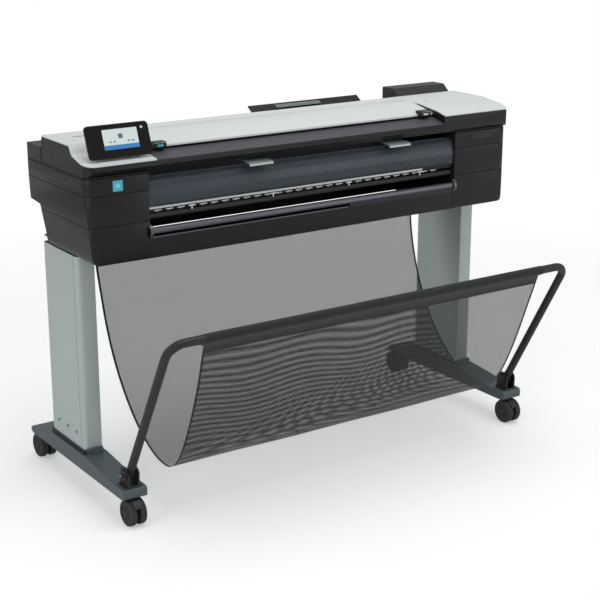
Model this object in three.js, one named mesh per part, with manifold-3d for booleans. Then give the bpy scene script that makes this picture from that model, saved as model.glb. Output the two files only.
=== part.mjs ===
// Large format plotter: a 36 inch roll printer with a sheet scanner on top, on a
// castored stand with a mesh media basket. Millimetres, +Z up, the front faces -Y.
// Inside this file Y = 0 is the printer's front face and Z = 0 is the floor.
import * as THREE from 'three';
import { mergeVertices } from 'three/addons/utils/BufferGeometryUtils.js';
import Module from 'manifold-3d';

const wasm = await Module();
wasm.setup();

// ---------------------------------------------------------------- driving sizes
// Printer body
const BODY_WIDTH = 1403;
const BODY_DEPTH = 363;
const BODY_HEIGHT = 233;
const SCANNER_HEIGHT = 72;
const STAND_HEIGHT = 682;
const LEFT_MODULE = 176.5;
const RIGHT_MODULE = 205.5;
const ROLL_OVERHANG = 83;
const TOWER_RISE = 39;
const TOWER_DEPTH = 94;
const SHELL = 3;
const SHEET = 2.5;
const CORNER = 36;
const EDGE_RADIUS = 8;
const DRAFT = 12;

// Fits
const GAP = 0.3;
const RUNNING = 0.4;
const EDGE_GAP = 0.5;

// Stand
const LEG_WIDTH = 52;
const LEG_DEPTH = 213;
const LEG_INSET = 19.5;
const LEG_WALL = 2.5;
const LEG_BEHIND = 53;
const FOOT_WIDTH = 70;
const FOOT_FRONT = 240;
const FOOT_REAR = 139;
const FOOT_HEIGHT = 29;
const FOOT_RISE = 18;
const FOOT_WALL = 3;
const WHEEL_RADIUS = 36;
const WHEEL_WIDTH = 20;
const WHEEL_TRAIL = 20;
const WHEEL_CLEARANCE = 6;
const FORK_WEB = 10;
const AXLE_RADIUS = 4;
const STEM_RADIUS = 5.5;
const STEM_LENGTH = 20;
const CASTER_INSET = 36;

// Media basket
const PIVOT_RISE = 60;
const PIVOT_INSET = 30;
const TUBE_RADIUS = 11.5;
const BAR_REACH = 234;
const BAR_RISE = 419;
const BEND_RADIUS = 45;
const PIN_RADIUS = 4;
const EAR_RADIUS = 24;
const EAR_THICKNESS = 5;
const FABRIC_WIDTH = 1112;
const FABRIC_THICKNESS = 2.4;
const ROD_RADIUS = 6;
const ROD_DROP = 30;
const BRACE_HEIGHT = 44;
const BRACE_DEPTH = 38;

// Print mechanism
const PLATEN_Z = 121;
const PLATEN_FRONT = 44;
const PLATEN_DEPTH = 106;
const PLATEN_THICKNESS = 6;
const FEED_RADIUS = 11;
const OUTPUT_RADIUS = 7.5;
const OUTPUT_Y = 20;
const JOURNAL_RADIUS = 5;
const CARRIAGE_WIDTH = 110;
const CARRIAGE_HEIGHT = 84;
const CARRIAGE_FRONT = 60;
const RAIL_DEPTH = 30;
const RAIL_HEIGHT = 50;
const PULLEY_RADIUS = 12;
const BELT_THICKNESS = 1.5;
const BELT_WIDTH = 8;
const SPINDLE_RADIUS = 10;
const HUB_RADIUS = 36;

// Scanner, control panel and covers
const RAMP_DEPTH = 55;
const SCANNER_DECK = 40;
const FEED_SLOT = 7;
const CAP_THICKNESS = 4;
const LID_LEFT_INSET = 199;
const LID_RIGHT_INSET = 249;
const GLASS_DEPTH = 36;
const GLASS_THICKNESS = 3;
const SCAN_ROLLER_RADIUS = 7;
const SCAN_ROLLER_RISE = 10;
const PANEL_WIDTH = 180;
const PANEL_HEIGHT = 88;
const PANEL_THICKNESS = 13;
const PANEL_LEAN = 21;
const SCREEN_WIDTH = 98;
const SCREEN_HEIGHT = 52;
const INK_COVER_RISE = 50;
const CARTRIDGE_WIDTH = 40;
const CARTRIDGE_HEIGHT = 96;

// ---------------------------------------------------------------- derived places
const HALF = BODY_WIDTH / 2;
const BASE_Z = STAND_HEIGHT;
const SEAM_Z = BASE_Z + BODY_HEIGHT;
const TOP_Z = SEAM_Z + SCANNER_HEIGHT;
const TOWER_Z = SEAM_Z + TOWER_RISE;
const TOWER_Y = BODY_DEPTH - TOWER_DEPTH;
const LOWER_DEPTH = BODY_DEPTH - ROLL_OVERHANG;
const OVERHANG_Z = BASE_Z + BODY_HEIGHT / 2;
const BAY_LEFT = -HALF + LEFT_MODULE;
const BAY_RIGHT = HALF - RIGHT_MODULE;
const PAN_TOP = BASE_Z + SHELL + GAP + SHELL;

const FOOT_UNDER = 2 * WHEEL_RADIUS + WHEEL_CLEARANCE;
const FOOT_TIP = FOOT_UNDER + FOOT_HEIGHT;
const FOOT_TOP = FOOT_TIP + FOOT_RISE;
const LEG_X = HALF - LEG_INSET - LEG_WIDTH / 2;
const LEG_REAR = LOWER_DEPTH + LEG_BEHIND;
const LEG_FRONT = LEG_REAR - LEG_DEPTH;
const FOOT_START = LEG_FRONT - FOOT_FRONT;
const FOOT_END = LEG_REAR + FOOT_REAR;
const PIVOT_Y = FOOT_START + PIVOT_INSET;
const PIVOT_Z = FOOT_UNDER + PIVOT_RISE;
const BAR_Y = PIVOT_Y - BAR_REACH;
const BAR_Z = PIVOT_Z + BAR_RISE;
const ROD_Y = LEG_REAR - LEG_BEHIND;
const ROD_Z = BASE_Z - ROD_DROP;

const PRINT_Z = BASE_Z + PLATEN_Z;
const FEED_Y = PLATEN_FRONT + PLATEN_DEPTH + FEED_RADIUS + 2;
const FEED_Z = PRINT_Z - FEED_RADIUS;
const OUTPUT_Z = PRINT_Z - 4 - OUTPUT_RADIUS;
const RAIL_BACK = LOWER_DEPTH - 40;
const RAIL_FRONT = RAIL_BACK - RAIL_DEPTH;
const RAIL_Z = PRINT_Z + 30;
const BELT_Z = RAIL_Z + RAIL_HEIGHT + 3;
const PULLEY_Y = (RAIL_FRONT + RAIL_BACK) / 2;
const PULLEY_X = BAY_LEFT + PULLEY_RADIUS + 8;
const IDLER_X = HALF - 40;
const CARRIAGE_X = BAY_RIGHT + RIGHT_MODULE / 2;
const SPINDLE_Y = BODY_DEPTH - 45;
const SPINDLE_Z = (OVERHANG_Z + TOWER_Z) / 2;

const DECK_Z = SEAM_Z + SCANNER_DECK;
const LID_LEFT = -HALF + LID_LEFT_INSET;
const LID_RIGHT = HALF - LID_RIGHT_INSET;
const LID_FRONT = RAMP_DEPTH;
const LID_BACK = TOWER_Y - 10;
const LID_EDGE_Z = DECK_Z + FEED_SLOT;
const LID_HINGE_Y = LID_BACK - 6;
const LID_HINGE_Z = TOP_Z - 16;
const LID_BREAK_Z = DECK_Z + SCAN_ROLLER_RISE + SCAN_ROLLER_RADIUS + 2 + SHELL;
const GLASS_Y = LID_FRONT + 20;
const PANEL_X = -HALF + PANEL_WIDTH / 2 + 18.5;

const WINDOW_HINGE_Y = 30;
const WINDOW_HINGE_Z = SEAM_Z - 22;
const FLAP_HINGE_Y = 50;
const FLAP_HINGE_Z = SEAM_Z - 3;
const ROLL_HINGE_Y = TOWER_Y + 10;
const ROLL_HINGE_Z = TOWER_Z - 8;
const INLET_X = -HALF + 60;
const INLET_Z = (OVERHANG_Z + TOWER_Z) / 2;

// ---------------------------------------------------------------- finishes
const finish = (color, roughness, metalness = 0) => (
  { color, roughness, metalness }
);
const BODY_PLASTIC = finish(0x222328, 0.5);
const WHITE_PLASTIC = finish(0xdfe6e6, 0.4);
const DARK_PLASTIC = finish(0x141518, 0.45);
const LEG_PAINT = finish(0x8c9e9c, 0.45, 0.2);
const FOOT_PAINT = finish(0x2c3538, 0.5, 0.2);
const BLACK_PAINT = finish(0x0f1012, 0.35, 0.3);
const STEEL = finish(0xaab0b4, 0.35, 0.9);
const RUBBER = finish(0x17181a, 0.8);
const MESH_FABRIC = finish(0x3a4143, 0.9);
const SMOKED_GLASS = finish(0x2a3238, 0.1);
const CLEAR_GLASS = finish(0x9fb6bd, 0.05);
const GREY_PLASTIC = finish(0x7d8c8c, 0.5);
const INKS = { cyan: 0x1aa0c8, magenta: 0xc02868, yellow: 0xe0c020, black: 0x1a1a1c };

// ---------------------------------------------------------------- solid modelling
/** A closed three.js geometry as a manifold solid. */
function solidOf(geometry) {
  const bare = geometry.clone();
  bare.deleteAttribute('normal');
  bare.deleteAttribute('uv');
  const merged = mergeVertices(bare, 1e-4);
  const corners = merged.index.array;
  const kept = [];
  for (let i = 0; i < corners.length; i += 3) {
    const [a, b, c] = [corners[i], corners[i + 1], corners[i + 2]];
    if (a !== b && b !== c && a !== c) kept.push(a, b, c);
  }
  return new wasm.Manifold(new wasm.Mesh({
    numProp: 3,
    vertProperties: new Float32Array(merged.attributes.position.array),
    triVerts: new Uint32Array(kept),
  }));
}

/** A manifold solid as a three.js geometry. */
function geometryOf(solid) {
  const mesh = solid.getMesh();
  const geometry = new THREE.BufferGeometry();
  geometry.setAttribute('position', new THREE.BufferAttribute(mesh.vertProperties, 3));
  geometry.setIndex(new THREE.BufferAttribute(mesh.triVerts, 1));
  geometry.computeVertexNormals();
  return geometry;
}

const union = (...solids) => solids.reduce((whole, next) => whole.add(next));
const cut = (solid, ...tools) => tools.reduce((whole, tool) => whole.subtract(tool), solid);

/** A shape from corners [a, b] or [a, b, radius]; a radius rounds that corner. */
function outline(corners) {
  const shape = new THREE.Shape();
  corners.forEach(([a, b, radius = 0], i) => {
    const [pa, pb] = corners.at(i - 1);
    const [na, nb] = corners[(i + 1) % corners.length];
    const before = new THREE.Vector2(pa - a, pb - b).setLength(radius);
    const after = new THREE.Vector2(na - a, nb - b).setLength(radius);
    const start = [a + before.x, b + before.y];
    if (i === 0) shape.moveTo(...start);
    else shape.lineTo(...start);
    if (radius > 0) shape.quadraticCurveTo(a, b, a + after.x, b + after.y);
  });
  shape.closePath();
  return shape;
}

/** The outline of a sheet of one thickness that follows a path of [a, b] points. */
function band(path, thickness) {
  const points = path.map(([a, b]) => new THREE.Vector2(a, b));
  const sides = [[], []];
  points.forEach((point, i) => {
    const into = point.clone().sub(points[Math.max(i - 1, 0)]);
    const out = points[Math.min(i + 1, points.length - 1)].clone().sub(point);
    const along = into.clone().normalize().add(out.clone().normalize()).normalize();
    const straight = out.lengthSq() > 0 ? out.normalize() : into.normalize();
    const mitre = thickness / 2 / Math.max(along.dot(straight), 0.5);
    const normal = new THREE.Vector2(-along.y, along.x).multiplyScalar(mitre);
    sides[0].push([point.x + normal.x, point.y + normal.y]);
    sides[1].unshift([point.x - normal.x, point.y - normal.y]);
  });
  return [...sides[0], ...sides[1]];
}

const toX = new THREE.Matrix4().makeBasis(
  new THREE.Vector3(0, 1, 0), new THREE.Vector3(0, 0, 1), new THREE.Vector3(1, 0, 0));
const toY = new THREE.Matrix4().makeBasis(
  new THREE.Vector3(1, 0, 0), new THREE.Vector3(0, 0, 1), new THREE.Vector3(0, -1, 0));

function prism(corners, length, curveSegments) {
  const shape = corners instanceof THREE.Shape ? corners : outline(corners);
  return new THREE.ExtrudeGeometry(shape, { depth: length, bevelEnabled: false, curveSegments });
}

/** A [y, z] outline run along X from x0 to x1. */
function alongX(corners, x0, x1, curveSegments = 4) {
  return solidOf(prism(corners, x1 - x0, curveSegments).applyMatrix4(toX).translate(x0, 0, 0));
}

/** An [x, z] outline run along Y from y0 to y1. */
function alongY(corners, y0, y1, curveSegments = 4) {
  return solidOf(prism(corners, y1 - y0, curveSegments).applyMatrix4(toY).translate(0, y1, 0));
}

/** An [x, y] outline run along Z from z0 to z1. */
function alongZ(corners, z0, z1, curveSegments = 4) {
  return solidOf(prism(corners, z1 - z0, curveSegments).translate(0, 0, z0));
}

function block([x0, x1], [y0, y1], [z0, z1]) {
  const box = new THREE.BoxGeometry(x1 - x0, y1 - y0, z1 - z0);
  return solidOf(box.translate((x0 + x1) / 2, (y0 + y1) / 2, (z0 + z1) / 2));
}

/** A round bar along X. */
function rodX(radius, [x0, x1], y, z, sides = 16) {
  const rod = new THREE.CylinderGeometry(radius, radius, x1 - x0, sides);
  return solidOf(rod.rotateZ(-Math.PI / 2).translate((x0 + x1) / 2, y, z));
}

/** A round bar along Z. */
function rodZ(radius, x, y, [z0, z1], sides = 16) {
  const rod = new THREE.CylinderGeometry(radius, radius, z1 - z0, sides);
  return solidOf(rod.rotateX(Math.PI / 2).translate(x, y, (z0 + z1) / 2));
}

/** A body of revolution about an X axis through (y, z), from [radius, x] points. */
function turnedX(profile, y, z, sides = 20) {
  const points = profile.map(([radius, x]) => new THREE.Vector2(radius, x));
  const turned = new THREE.LatheGeometry(points, sides);
  return solidOf(turned.rotateZ(-Math.PI / 2).translate(0, y, z));
}

/** A route through given points, sampled at those points. */
class Route extends THREE.Curve {
  constructor(points) {
    super();
    this.points = points;
  }

  getPoint(t) {
    const place = Math.min(Math.max(t, 0), 1) * (this.points.length - 1);
    const i = Math.min(Math.floor(place), this.points.length - 2);
    return this.points[i].clone().lerp(this.points[i + 1], place - i);
  }

  getPointAt(u) {
    return this.getPoint(u);
  }

  getTangentAt(u) {
    return this.getTangent(u);
  }
}

/** A round tube that follows points in space. */
function tube(points, radius, sides = 12) {
  const ring = new THREE.Shape().absarc(0, 0, radius, 0, 2 * Math.PI);
  return solidOf(new THREE.ExtrudeGeometry(ring, {
    steps: points.length - 1,
    extrudePath: new Route(points),
    curveSegments: sides,
    bevelEnabled: false,
  }));
}

const mix = (from, to, share) => from + (to - from) * share;
const mirrored = (solid) => solid.mirror([1, 0, 0]);

// ---------------------------------------------------------------- the assembly
const plotter = new THREE.Group();

function add(name, solid, look) {
  const mesh = new THREE.Mesh(geometryOf(solid), new THREE.MeshStandardMaterial(look));
  mesh.name = name;
  plotter.add(mesh);
}

/** Adds a piece and its mirror image, named for the side each is on. */
function addPair(name, rightSolid, look) {
  add(`${name}_left`, mirrored(rightSolid), look);
  add(`${name}_right`, rightSolid, look);
}

// ---------------------------------------------------------------- stand
const CASTER_FRONT_Y = FOOT_START + CASTER_INSET;
const CASTER_REAR_Y = FOOT_END - CASTER_INSET;

function foot() {
  const seatEnd = PIVOT_Y + EAR_RADIUS + 8;
  const side = alongX([
    [FOOT_START, FOOT_UNDER, 8],
    [FOOT_START, FOOT_TIP, 10],
    [seatEnd, FOOT_TIP],
    [LEG_FRONT - 10, FOOT_TOP],
    [LEG_REAR + 4, FOOT_TOP],
    [FOOT_END - 20, FOOT_TIP - 4, 12],
    [FOOT_END, FOOT_UNDER + 12, 10],
    [FOOT_END - 14, FOOT_UNDER, 4],
  ], LEG_X - FOOT_WIDTH / 2, LEG_X + FOOT_WIDTH / 2);
  const hollow = block(
    [LEG_X - FOOT_WIDTH / 2 + FOOT_WALL, LEG_X + FOOT_WIDTH / 2 - FOOT_WALL],
    [CASTER_FRONT_Y + 22, CASTER_REAR_Y - 22],
    [FOOT_UNDER - 1, FOOT_TIP - 2 * FOOT_WALL]);
  const collar = block(
    [LEG_X - LEG_WIDTH / 2 + 3, LEG_X + LEG_WIDTH / 2 - 3],
    [LEG_FRONT - 10, LEG_FRONT - GAP],
    [FOOT_TOP - 2, FOOT_TOP + 16]);
  const bores = [CASTER_FRONT_Y, CASTER_REAR_Y].map((y) => rodZ(
    STEM_RADIUS + RUNNING, LEG_X, y, [FOOT_UNDER - 1, FOOT_UNDER + STEM_LENGTH + GAP]));
  return cut(union(side, collar), hollow, ...bores);
}

function leg() {
  const [x0, x1] = [LEG_X - LEG_WIDTH / 2, LEG_X + LEG_WIDTH / 2];
  const section = outline([
    [x0, LEG_FRONT, 5],
    [x1, LEG_FRONT, 14],
    [x1, LEG_REAR, 14],
    [x0, LEG_REAR, 5],
  ]);
  section.holes.push(outline([
    [x0 + LEG_WALL, LEG_FRONT + LEG_WALL, 3],
    [x1 - LEG_WALL, LEG_FRONT + LEG_WALL, 11],
    [x1 - LEG_WALL, LEG_REAR - LEG_WALL, 11],
    [x0 + LEG_WALL, LEG_REAR - LEG_WALL, 3],
  ]));
  const column = alongZ(section, FOOT_TOP + GAP, BASE_Z - GAP);
  const groove = block(
    [x1 - 1.2, x1 + 1],
    [LEG_FRONT + 22, LEG_FRONT + 24.5],
    [FOOT_TOP, BASE_Z]);
  return cut(column, groove);
}

function crossBrace() {
  const reach = LEG_X - LEG_WIDTH / 2 - GAP;
  const [y0, y1] = [ROD_Y + 12, ROD_Y + 12 + BRACE_DEPTH];
  const [z0, z1] = [ROD_Z - BRACE_HEIGHT / 2, ROD_Z + BRACE_HEIGHT / 2];
  const section = outline([[y0, z0, 3], [y1, z0, 3], [y1, z1, 3], [y0, z1, 3]]);
  section.holes.push(outline([
    [y0 + SHEET, z0 + SHEET],
    [y1 - SHEET, z0 + SHEET],
    [y1 - SHEET, z1 - SHEET],
    [y0 + SHEET, z1 - SHEET],
  ]));
  return alongX(section, -reach, reach, 2);
}

/** A twin-wheel caster under the foot at (x, y); trail is where its wheels lie. */
function casterFork(x, y, trail) {
  const headTop = FOOT_UNDER - GAP;
  const headBottom = 2 * WHEEL_RADIUS + 1.5;
  const stem = rodZ(STEM_RADIUS, x, y, [headBottom, FOOT_UNDER + STEM_LENGTH], 12);
  const head = rodZ(16, x, y, [headBottom, headTop], 16);
  const reach = Math.sign(trail);
  const web = alongX([
    [y - reach * 12, headTop - 1],
    [y + reach * 12, headTop - 1],
    [y + trail + reach * 9, WHEEL_RADIUS + 8],
    [y + trail + reach * 9, WHEEL_RADIUS - 9],
    [y + trail - reach * 9, WHEEL_RADIUS - 9],
    [y - reach * 12, WHEEL_RADIUS + 12],
  ], x - FORK_WEB / 2, x + FORK_WEB / 2);
  const bore = rodX(AXLE_RADIUS + RUNNING, [x - FORK_WEB, x + FORK_WEB], y + trail, WHEEL_RADIUS);
  return cut(union(stem, head, web), bore);
}

function casterWheels(x, y) {
  const inner = FORK_WEB / 2 + 0.6;
  const outer = inner + WHEEL_WIDTH;
  const half = [
    [AXLE_RADIUS, inner],
    [WHEEL_RADIUS, inner],
    [WHEEL_RADIUS, outer - 4],
    [WHEEL_RADIUS - 4, outer],
    [0, outer],
  ];
  const other = half.map(([radius, across]) => [radius, -across]).reverse();
  return turnedX([...other, ...half].map(([radius, across]) => [radius, -across]).reverse(),
    y, WHEEL_RADIUS).translate([x, 0, 0]);
}

function addCasters() {
  for (const [side, sign] of [['left', -1], ['right', 1]]) {
    for (const [end, y, trail] of [
      ['front', CASTER_FRONT_Y, -WHEEL_TRAIL],
      ['rear', CASTER_REAR_Y, WHEEL_TRAIL],
    ]) {
      add(`caster_fork_${end}_${side}`, casterFork(sign * LEG_X, y, trail), DARK_PLASTIC);
      add(`caster_wheels_${end}_${side}`, casterWheels(sign * LEG_X, y + trail), RUBBER);
    }
  }
}

function basketHinge() {
  const inner = TUBE_RADIUS + 0.6;
  const outer = inner + EAR_THICKNESS;
  const seat = FOOT_TIP + GAP;
  const ears = [-outer, inner].map((from) => union(
    rodX(EAR_RADIUS, [LEG_X + from, LEG_X + from + EAR_THICKNESS], PIVOT_Y, PIVOT_Z, 20),
    block(
      [LEG_X + from, LEG_X + from + EAR_THICKNESS],
      [PIVOT_Y - EAR_RADIUS + 1, PIVOT_Y + EAR_RADIUS - 1],
      [seat, PIVOT_Z])));
  const base = block(
    [LEG_X - outer - 5, LEG_X + outer + 5],
    [PIVOT_Y - EAR_RADIUS, PIVOT_Y + EAR_RADIUS],
    [seat, seat + 5]);
  const bore = rodX(PIN_RADIUS + GAP, [LEG_X - 2 * outer, LEG_X + 2 * outer], PIVOT_Y, PIVOT_Z, 12);
  return cut(union(base, ...ears), bore);
}

/** The U-shaped tube: two arms up from the hinges and a bar across. */
function basketFrame() {
  const pivot = new THREE.Vector3(LEG_X, PIVOT_Y, PIVOT_Z);
  const corner = new THREE.Vector3(LEG_X, BAR_Y, BAR_Z);
  const armEnd = corner.clone().sub(pivot).setLength(corner.distanceTo(pivot) - BEND_RADIUS).add(pivot);
  const barEnd = corner.clone().setX(LEG_X - BEND_RADIUS);
  const bend = new THREE.QuadraticBezierCurve3(armEnd, corner, barEnd).getPoints(5);
  const right = [pivot, ...bend];
  const left = right.map((point) => point.clone().setX(-point.x)).reverse();
  const pins = [-1, 1].map((side) => union(
    rodX(TUBE_RADIUS, [side * LEG_X - TUBE_RADIUS, side * LEG_X + TUBE_RADIUS], PIVOT_Y, PIVOT_Z, 12),
    rodX(PIN_RADIUS, [side * LEG_X - 22, side * LEG_X + 22], PIVOT_Y, PIVOT_Z, 12)));
  return union(tube([...right, ...left], TUBE_RADIUS), ...pins);
}

/** A hem sleeve of cloth around a bar along X. */
function hem(radius, y, z) {
  const ring = new THREE.Shape().absarc(y, z, radius + GAP + FABRIC_THICKNESS, 0, 2 * Math.PI);
  ring.holes.push(new THREE.Path().absarc(y, z, radius + GAP, 0, 2 * Math.PI, true));
  return alongX(ring, -FABRIC_WIDTH / 2, FABRIC_WIDTH / 2, 12);
}

/** A hanging sheet whose section is one Bezier curve of [y, z] points. */
function hangingSheet(start, startPull, endPull, end, pieces) {
  const curve = new THREE.CubicBezierCurve(
    ...[start, startPull, endPull, end].map(([y, z]) => new THREE.Vector2(y, z)));
  const path = curve.getPoints(pieces).map((point) => [point.x, point.y]);
  return alongX(band(path, FABRIC_THICKNESS), -FABRIC_WIDTH / 2, FABRIC_WIDTH / 2);
}

function fabricRear() {
  const hemDrop = ROD_RADIUS + GAP + FABRIC_THICKNESS / 2;
  const sheet = hangingSheet(
    [ROD_Y, ROD_Z - hemDrop],
    [ROD_Y - 35, mix(PIVOT_Z, ROD_Z, 0.374)],
    [mix(PIVOT_Y, ROD_Y, 0.405), PIVOT_Z],
    [PIVOT_Y + 1, PIVOT_Z],
    12);
  return union(sheet, hem(ROD_RADIUS, ROD_Y, ROD_Z));
}

function fabricFront() {
  const away = new THREE.Vector2(PIVOT_Y - BAR_Y, PIVOT_Z - BAR_Z)
    .setLength(TUBE_RADIUS + GAP + FABRIC_THICKNESS / 2);
  const sheet = hangingSheet(
    [PIVOT_Y - 1, PIVOT_Z],
    [mix(PIVOT_Y, BAR_Y, 0.256), PIVOT_Z],
    [mix(PIVOT_Y, BAR_Y, 0.47), mix(PIVOT_Z, BAR_Z, 0.124)],
    [BAR_Y + away.x, BAR_Z + away.y],
    10);
  return union(sheet, hem(TUBE_RADIUS, BAR_Y, BAR_Z));
}

function addStand() {
  addPair('foot', foot(), FOOT_PAINT);
  addPair('leg', leg(), LEG_PAINT);
  add('cross_brace', crossBrace(), LEG_PAINT);
  addCasters();
  addPair('basket_hinge', basketHinge(), DARK_PLASTIC);
  add('basket_frame', basketFrame(), BLACK_PAINT);
  const rodReach = LEG_X - LEG_WIDTH / 2 - GAP;
  add('basket_rod', rodX(ROD_RADIUS, [-rodReach, rodReach], ROD_Y, ROD_Z, 12), STEEL);
  add('fabric_rear', fabricRear(), MESH_FABRIC);
  add('fabric_front', fabricFront(), MESH_FABRIC);
}

// ---------------------------------------------------------------- printer casing
/** The body's side outline, moved inwards by d. */
function bodySide(d) {
  return [
    [d, BASE_Z + d, EDGE_RADIUS],
    [d, SEAM_Z - d],
    [TOWER_Y + d, SEAM_Z - d],
    [TOWER_Y + d, TOWER_Z - d],
    [BODY_DEPTH - d, TOWER_Z - d, 5],
    [BODY_DEPTH - d, OVERHANG_Z + d, 4],
    [LOWER_DEPTH + 24 - d, OVERHANG_Z - 5 + d / 2],
    [LOWER_DEPTH + 3 - d, BASE_Z + 39],
    [LOWER_DEPTH - d, BASE_Z + d],
  ];
}

/** One end of the body, from the bay's edge outwards, moved inwards by d. */
function endBlock(bayEdge, d) {
  const inner = bayEdge - (d > 0 ? 1 : 0);
  const side = alongX(bodySide(d), inner, HALF - d);
  const plan = alongZ([
    [inner, d],
    [HALF - d, d, CORNER - d],
    [HALF - d, BODY_DEPTH - d, 8],
    [inner, BODY_DEPTH - d],
  ], BASE_Z - 1, TOWER_Z + 1, 6);
  const front = alongY([
    [inner, BASE_Z + d],
    [HALF - DRAFT - d, BASE_Z + d, 24],
    [HALF - d, SEAM_Z - 30],
    [HALF - d, TOWER_Z],
    [inner, TOWER_Z],
  ], -1, BODY_DEPTH + 1, 5);
  return side.intersect(plan).intersect(front);
}

function endCover(bayEdge) {
  return cut(endBlock(bayEdge, 0), endBlock(bayEdge, SHELL));
}

const INK_BAY_Y = [TOWER_Y + 6, BODY_DEPTH - 9];
const INK_BAY_X = [BAY_RIGHT + 12, HALF - 15];
const INK_FLOOR = TOWER_Z - 82;

function endCoverRight() {
  const [[x0, x1], [y0, y1]] = [INK_BAY_X, INK_BAY_Y];
  const well = block([x0 - 2, x1 + 2], [y0 - 2, y1 + 2], [INK_FLOOR - 2, TOWER_Z - 1]);
  const inside = block([x0, x1], [y0, y1], [INK_FLOOR, TOWER_Z + 1]);
  return cut(union(endCover(BAY_RIGHT), well), inside);
}

const INLET_SIZE = [64, 30];

function endCoverLeft() {
  const hole = block(
    [INLET_X - INLET_SIZE[0] / 2 - GAP, INLET_X + INLET_SIZE[0] / 2 + GAP],
    [BODY_DEPTH - SHELL - 1, BODY_DEPTH + 1],
    [INLET_Z - INLET_SIZE[1] / 2 - GAP, INLET_Z + INLET_SIZE[1] / 2 + GAP]);
  return cut(mirrored(endCover(-BAY_LEFT)), hole);
}

function basePan() {
  const reach = HALF - 45;
  return block([-reach, reach], [SHELL + EDGE_RADIUS, LOWER_DEPTH - SHELL - GAP],
    [PAN_TOP - SHELL, PAN_TOP]);
}

const FRAME_HOLES = [
  [FEED_Y, FEED_Z, JOURNAL_RADIUS],
  [OUTPUT_Y, OUTPUT_Z, JOURNAL_RADIUS],
  [WINDOW_HINGE_Y, WINDOW_HINGE_Z, 3],
  [SPINDLE_Y, SPINDLE_Z, 6],
  [ROLL_HINGE_Y, ROLL_HINGE_Z, 3],
];

/** A side frame plate whose outer face is towards the nearest end cover. */
function sideFrame(x0, x1) {
  const d = SHELL + GAP;
  const plate = alongX([
    [d + EDGE_RADIUS, PAN_TOP + GAP],
    [d, PAN_TOP + GAP + EDGE_RADIUS],
    [d, SEAM_Z - d],
    [TOWER_Y + d, SEAM_Z - d],
    [TOWER_Y + d, TOWER_Z - d],
    [BODY_DEPTH - d - 4, TOWER_Z - d],
    [BODY_DEPTH - d, TOWER_Z - d - 4],
    [BODY_DEPTH - d, OVERHANG_Z + d + 4],
    [LOWER_DEPTH + 22 - d, OVERHANG_Z],
    [LOWER_DEPTH + 1 - d, BASE_Z + 42],
    [LOWER_DEPTH - 1 - d, PAN_TOP + GAP],
  ], x0, x1);
  const holes = FRAME_HOLES.map(([y, z, radius]) => rodX(radius + RUNNING, [x0 - 1, x1 + 1], y, z, 16));
  return cut(plate, ...holes);
}

const CARRIAGE_Z = [PRINT_Z + 5, PRINT_Z + 5 + CARRIAGE_HEIGHT];

function sideFrameRight() {
  const [x0, x1] = [BAY_RIGHT + EDGE_GAP, BAY_RIGHT + EDGE_GAP + SHEET];
  const passage = block(
    [x0 - 1, x1 + 1],
    [CARRIAGE_FRONT - 8, RAIL_BACK + GAP],
    [PRINT_Z + 2, CARRIAGE_Z[1] + 6]);
  return cut(sideFrame(x0, x1), passage);
}

function frontLowerPanel() {
  return alongX(band([
    [2, BASE_Z + 1],
    [2, BASE_Z + 54],
    [22, BASE_Z + 60],
  ], SHELL), BAY_LEFT + GAP, BAY_RIGHT - GAP);
}

function rearCover() {
  const wall = alongX(band([
    [LOWER_DEPTH + 2, BASE_Z + 10],
    [LOWER_DEPTH - 1.5, BASE_Z + 10],
    [LOWER_DEPTH + 1.5, BASE_Z + 39],
    [LOWER_DEPTH + 22.5, OVERHANG_Z - 3],
    [BODY_DEPTH - 8, OVERHANG_Z + 1.5],
  ], SHELL), BAY_LEFT + GAP, BAY_RIGHT - GAP);
  const lip = block(
    [-HALF + CORNER, HALF - CORNER],
    [LOWER_DEPTH + 1.5, LOWER_DEPTH + 76],
    [BASE_Z + 8, BASE_Z + 12]);
  return union(wall, lip);
}

function addCasing() {
  add('end_cover_left', endCoverLeft(), BODY_PLASTIC);
  add('end_cover_right', endCoverRight(), BODY_PLASTIC);
  add('base_pan', basePan(), STEEL);
  add('side_frame_left', sideFrame(BAY_LEFT - EDGE_GAP - SHEET, BAY_LEFT - EDGE_GAP), STEEL);
  add('side_frame_right', sideFrameRight(), STEEL);
  add('front_lower_panel', frontLowerPanel(), BODY_PLASTIC);
  add('rear_cover', rearCover(), BODY_PLASTIC);
}

// ---------------------------------------------------------------- print mechanism
const BAY = [BAY_LEFT - EDGE_GAP + GAP, BAY_RIGHT + EDGE_GAP - GAP];

/** A roller with journals that run in the two side frames. */
function roller(radius, y, z, sides) {
  const barrel = rodX(radius, [BAY[0] + 3, BAY[1] - 3], y, z, sides);
  const shaft = rodX(JOURNAL_RADIUS, [BAY[0] - SHEET, BAY[1] + SHEET], y, z, 12);
  return union(barrel, shaft);
}

function platen() {
  const [y0, y1] = [PLATEN_FRONT, PLATEN_FRONT + PLATEN_DEPTH];
  return alongX([
    [y0, PRINT_Z - PLATEN_THICKNESS],
    [y0, PRINT_Z],
    [y1, PRINT_Z],
    [y1, PRINT_Z - 26],
    [y1 - 4, PRINT_Z - 26],
    [y1 - 4, PRINT_Z - PLATEN_THICKNESS],
  ], ...BAY);
}

function starwheelRail() {
  return alongX(band([
    [12, PRINT_Z + 4],
    [12, PRINT_Z + 12],
    [32, PRINT_Z + 12],
  ], SHEET), ...BAY);
}

function outputBar() {
  return alongX([
    [-6, BASE_Z + 66, 6],
    [16, BASE_Z + 62, 4],
    [20, BASE_Z + 78, 4],
    [-4, BASE_Z + 82, 8],
  ], BAY_LEFT + GAP, BAY_RIGHT - GAP);
}

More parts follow.
